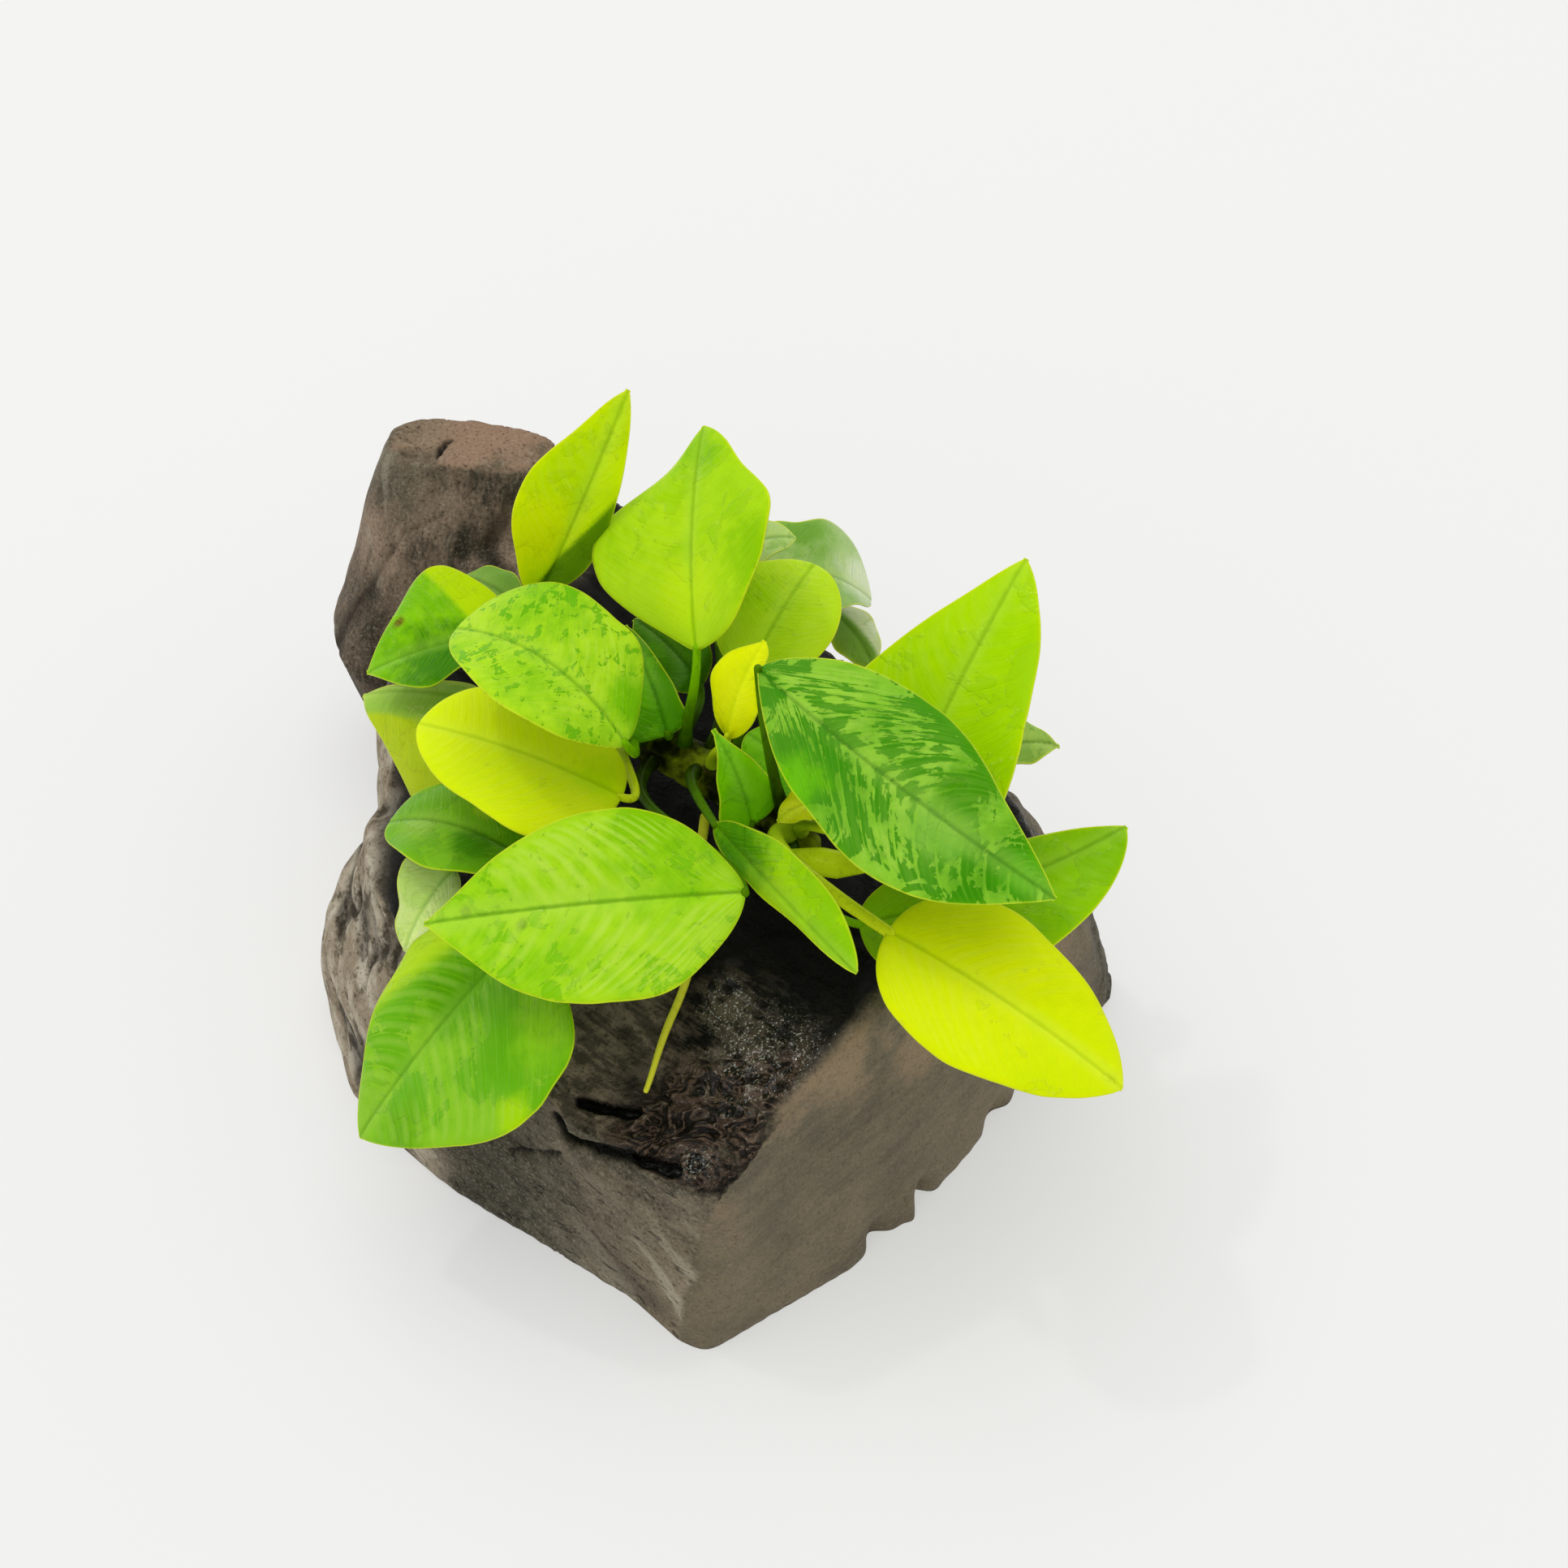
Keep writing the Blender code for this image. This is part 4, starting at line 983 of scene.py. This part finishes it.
# Driftwood finish: each face's tones mixed by noise along its own grain, then pits darker, partly their
# own dark and partly painted shade, hollows and cracks darker with painted shade, and raised places paler
# off the top, partly worn and partly painted light. The top is dark and wet, black with painted shadow
# where the leaves shade it, with painted glints where it shines, painted shade in the ripples' troughs and
# a paler shelf of painted light in front of the leaves; the flank is paler, partly weathered and partly
# painted light; the front is paler near its corner and the sawn face warm along its upper edge.
def woodFinish():
    paint = Paint("wet_driftwood")
    place = paint.place()
    shade = {name: tone(*colour) for name, colour in woodTones.items()}
    top, sawn, front, flank, limb, cut = (
        paint.field(name + "Face") for name in ("top", "sawn", "front", "flank", "limb", "cut"))
    crease, height, rippled, ring, shine = (
        paint.field(name) for name in ("crease", "height", "rippled", "ring", "shine"))
    aside, deep, rise = paint.axes(place)
    grit = paint.noise(place, 1700, 4, 0.65)
    sparkle = paint.noise(place, 2400, 2, 0.7)
    cloud = paint.noise(place, 60, 4, 0.6)
    lumps = paint.noise(place, 260, 5, 0.62, distortion=0.4)
    level = paint.stretched(place, (0.55, 1, 1), (0, 0, 0.5))
    winding = (paint.noise(level, 260, 3, 0.5, distortion=1.2) * 5).math("PINGPONG", 0.5) * 2
    fibres = {}
    for name, stretch in (("sawn", 6), ("front", 3), ("limb", 10), ("top", 5)):
        grain = woodFaces[name][0]
        broad = paint.grained(place, grain, stretch, 420, 3)
        fibres[name] = (paint.grained(place, grain, stretch, 1500, 4, 0.62) + broad) * 0.5
    threads = paint.grained(place, (0.25, -0.2, -0.95), 9, 170, 3, 0.5, 0.6)
    streaks = paint.grained(place, (0.5, -0.42, -0.76), 6, 190, 4, 0.6, 0.5)
    pits = paint.grained(place, woodFaces["front"][0], 2.5, 620, 2, 0.5)

    def over(base, *layers):    # each layer a tone's name, or a colour already mixed, and its share
        return paint.layered(base, *((shade.get(colour, colour), share) for colour, share in layers))

    nearCorner = front * aside.between(-0.034, -0.004) * rise.between(0.04, 0.01)
    natural = over(
        shade["dark"],
        ("grey", (lumps * 0.5 + fibres["front"] * 0.5).between(0.38, 0.68)),
        ("stone", rise.between(0.016, 0.04) * cloud.between(0.38, 0.6) * 0.5),
        ("stone", nearCorner * 0.9),
        ("dark", front * aside.between(-0.024, -0.04) * cloud.between(0.4, 0.56) * 0.6),
        ("pale", streaks.between(0.54, 0.64) * nearCorner * 0.7))
    sawnTone = over(
        shade["slate"],
        ("sawn", (cloud * 0.5 + fibres["sawn"] * 0.5).between(0.36, 0.6)),
        ("warm", (cloud * 0.05 + rise).between(0.055, 0.075) * cloud.between(0.4, 0.6) * 0.7),
        ("dark", (fibres["sawn"] * 0.5 + grit * 0.5).between(0.45, 0.7) * 0.3))
    # the flank paler: partly its own weathered grey and partly painted light where it is lit
    flankTone = over(
        shade["stone"],
        ("bleachedAndLit", (streaks * 0.6 + lumps * 0.4).between(0.4, 0.64)),
        ("brown", (lumps * 0.6 + fibres["front"] * 0.4 + height * 0.1).between(0.48, 0.36)))
    limbTone = over(
        shade["dark"],
        ("tan", (fibres["limb"] * 0.5 + cloud * 0.5).between(0.38, 0.62)),
        ("slate", aside.between(-0.045, -0.062) * rise.between(0.058, 0.068) * 0.8),
        ("dark", rise.between(0.052, 0.044) * 0.5),
        ("pale", threads.between(0.54, 0.7) * 0.32))
    cutTone = over(
        shade["brown"],
        ("cut", (cloud * 0.6 + fibres["top"] * 0.4).between(0.38, 0.56)),
        ("brown", deep.between(0.064, 0.072) * 0.55),
        ("russet", aside.between(-0.053, -0.046) * cloud.between(0.35, 0.6) * 0.7))
    # painted shadow of the leaves: the top stays black, partly dark wet wood, where they shade it, and
    # takes its wet tone where they cast none
    outOfLeafShadow = deep.between(-0.038, -0.05) * aside.between(0.016, -0.004)    # what the leaves leave bare
    streaky = (lumps * 0.4 + fibres["top"] * 0.6).between(0.44, 0.6)
    # the ripples: soaked brown along their ridges and painted shade in their troughs
    soaked = over(shade["troughShade"], ("soaked", (winding * 0.6 + lumps * 0.4).between(0.3, 0.75)))
    # where the painted glints fall, on the lumps near the shine
    glintPlaces = (lumps * 0.6 + fibres["top"] * 0.4).between(0.43, 0.55) * shine.between(0.1, 0.8)
    topTone = over(
        shade["black"],
        ("wet", streaky * (outOfLeafShadow + shine * 0.6)),
        # painted light: a paler shelf in front of the leaves
        ("stone", (streaky * 0.9 + 0.35) * outOfLeafShadow * aside.between(-0.005, -0.012)),
        (soaked, rippled.between(0.1, 0.6)),
        ("black", ring.between(0.5, 1.4)),
        # painted glints on the wet top and along the ripples
        ("paintedGlint", sparkle.between(0.56, 0.66) * glintPlaces * 0.9),
        ("paintedGlint", winding.between(0.86, 1.0) * sparkle.between(0.45, 0.6) * rippled * 0.5))
    base = over(
        natural,
        (sawnTone, sawn),
        (flankTone, flank),
        (limbTone, limb),
        (cutTone, cut),
        (topTone, top),
        # pits darker, partly their own dark and partly painted shade
        ("black", pits.between(0.6, 0.7) * 0.6 * (front + flank * 0.6)),
        ("black", grit.between(0.54, 0.7) * (0.7 - sawn * 0.4)),
        ("pale", grit.between(0.46, 0.34) * (1 - top - sawn * 0.7) * 0.3),
        # painted shade in the relief's hollows, and raised places paler, partly worn and partly painted
        # light
        ("black", height.between(-0.15, -1.0) * 0.65),
        ("pale", height.between(0.35, 1.2) * 0.3 * (1 - top)),
        # painted shade in the cracks
        ("black", crease))

    film = top * lumps.between(0.35, 0.55) + crease
    rough = woodGloss["dry"] - top * woodGloss["soaked"] - film * woodGloss["film"] + (grit - 0.5) * 0.3
    fibre = sawn * fibres["sawn"] * 0.5 + limb * fibres["limb"] + front * fibres["front"]
    relief = grit * 0.35 + fibre * 0.8 + lumps * 1.4 * (1 - sawn * 0.8) + winding * rippled * 1.6
    relief = relief - pits.between(0.58, 0.7) * front * 0.5 + (fibres["top"] * 1.5 + grit) * top
    return paint.finish(
        Base_Color=base, Roughness=rough, Normal=paint.bump(relief, 0.85, 0.5),
        Coat_Weight=film * (shine + rippled * 0.4) * woodGloss["coat"], Coat_Roughness=0.06,
        Specular_IOR_Level=0.12)


addDriftwood()


# Floor, lights and camera: the picture looks 50 degrees down from 0.56 m

stageShape = dict(floor=6.0, floorDrop=0.0001, floorTone=(0.42, 0.42, 0.41), floorGlow=0.45,
                  glowTone=(1, 1, 0.985), horizon=1.0, zenith=0.66)
# each lamp's name, place in metres, size and power
studioLights = [("overhead", (-0.3, 0.3, 3), 3.2, 33), ("key", (-0.9, 0.5, 2.2), 0.12, 4.5)]
cameraShape = dict(target=(10, 18, 30), elevation=50, distance=560, fieldOfView=28)


def addFloor():
    half, low = stageShape["floor"] / 2, -stageShape["floorDrop"]
    corners = [(x * half, y * half, low) for x, y in ((-1, -1), (1, -1), (1, 1), (-1, 1))]
    mesh = bpy.data.meshes.new("studio_floor")
    mesh.from_pydata(corners, [], [(0, 1, 2, 3)])
    mesh.materials.append(Paint("studio_floor").finish(
        Base_Color=stageShape["floorTone"], Roughness=0.7, Specular_IOR_Level=0.2,
        Emission_Color=stageShape["glowTone"], Emission_Strength=stageShape["floorGlow"]))
    addThing("studio_floor", mesh)


def addLights():    # an even sky, paler at the horizon than above, and two lamps
    paint = Paint("studio", bpy.data.worlds, "Background")
    rise = paint.axes(paint.node("ShaderNodeTexCoord", {}, {}, "Generated"))[2]
    strength = rise.between(0.1, 0.55, stageShape["horizon"], stageShape["zenith"], "LINEAR")
    scene.world = paint.finish(Color=(1, 1, 1), Strength=strength)
    for name, at, size, power in studioLights:
        lamp = bpy.data.lights.new(name, "AREA")
        lamp.shape = "DISK"
        lamp.size = size
        lamp.energy = power
        thing = addThing(name, lamp)
        thing.location = at
        thing.rotation_euler = (-Vector(at)).to_track_quat("-Z", "Y").to_euler()


def addCamera():
    elevation = math.radians(cameraShape["elevation"])
    back = Vector((0, -math.cos(elevation), math.sin(elevation)))
    data = bpy.data.cameras.new("camera")
    data.angle = math.radians(cameraShape["fieldOfView"])
    data.clip_start = 0.01
    camera = addThing("camera", data)
    camera.location = (Vector(cameraShape["target"]) + back * cameraShape["distance"]) * mm
    camera.rotation_euler = (math.radians(90) - elevation, 0, 0)
    scene.camera = camera


addFloor()
addLights()
addCamera()
scene.view_settings.view_transform = "Standard"
print("floor, lights and camera made")
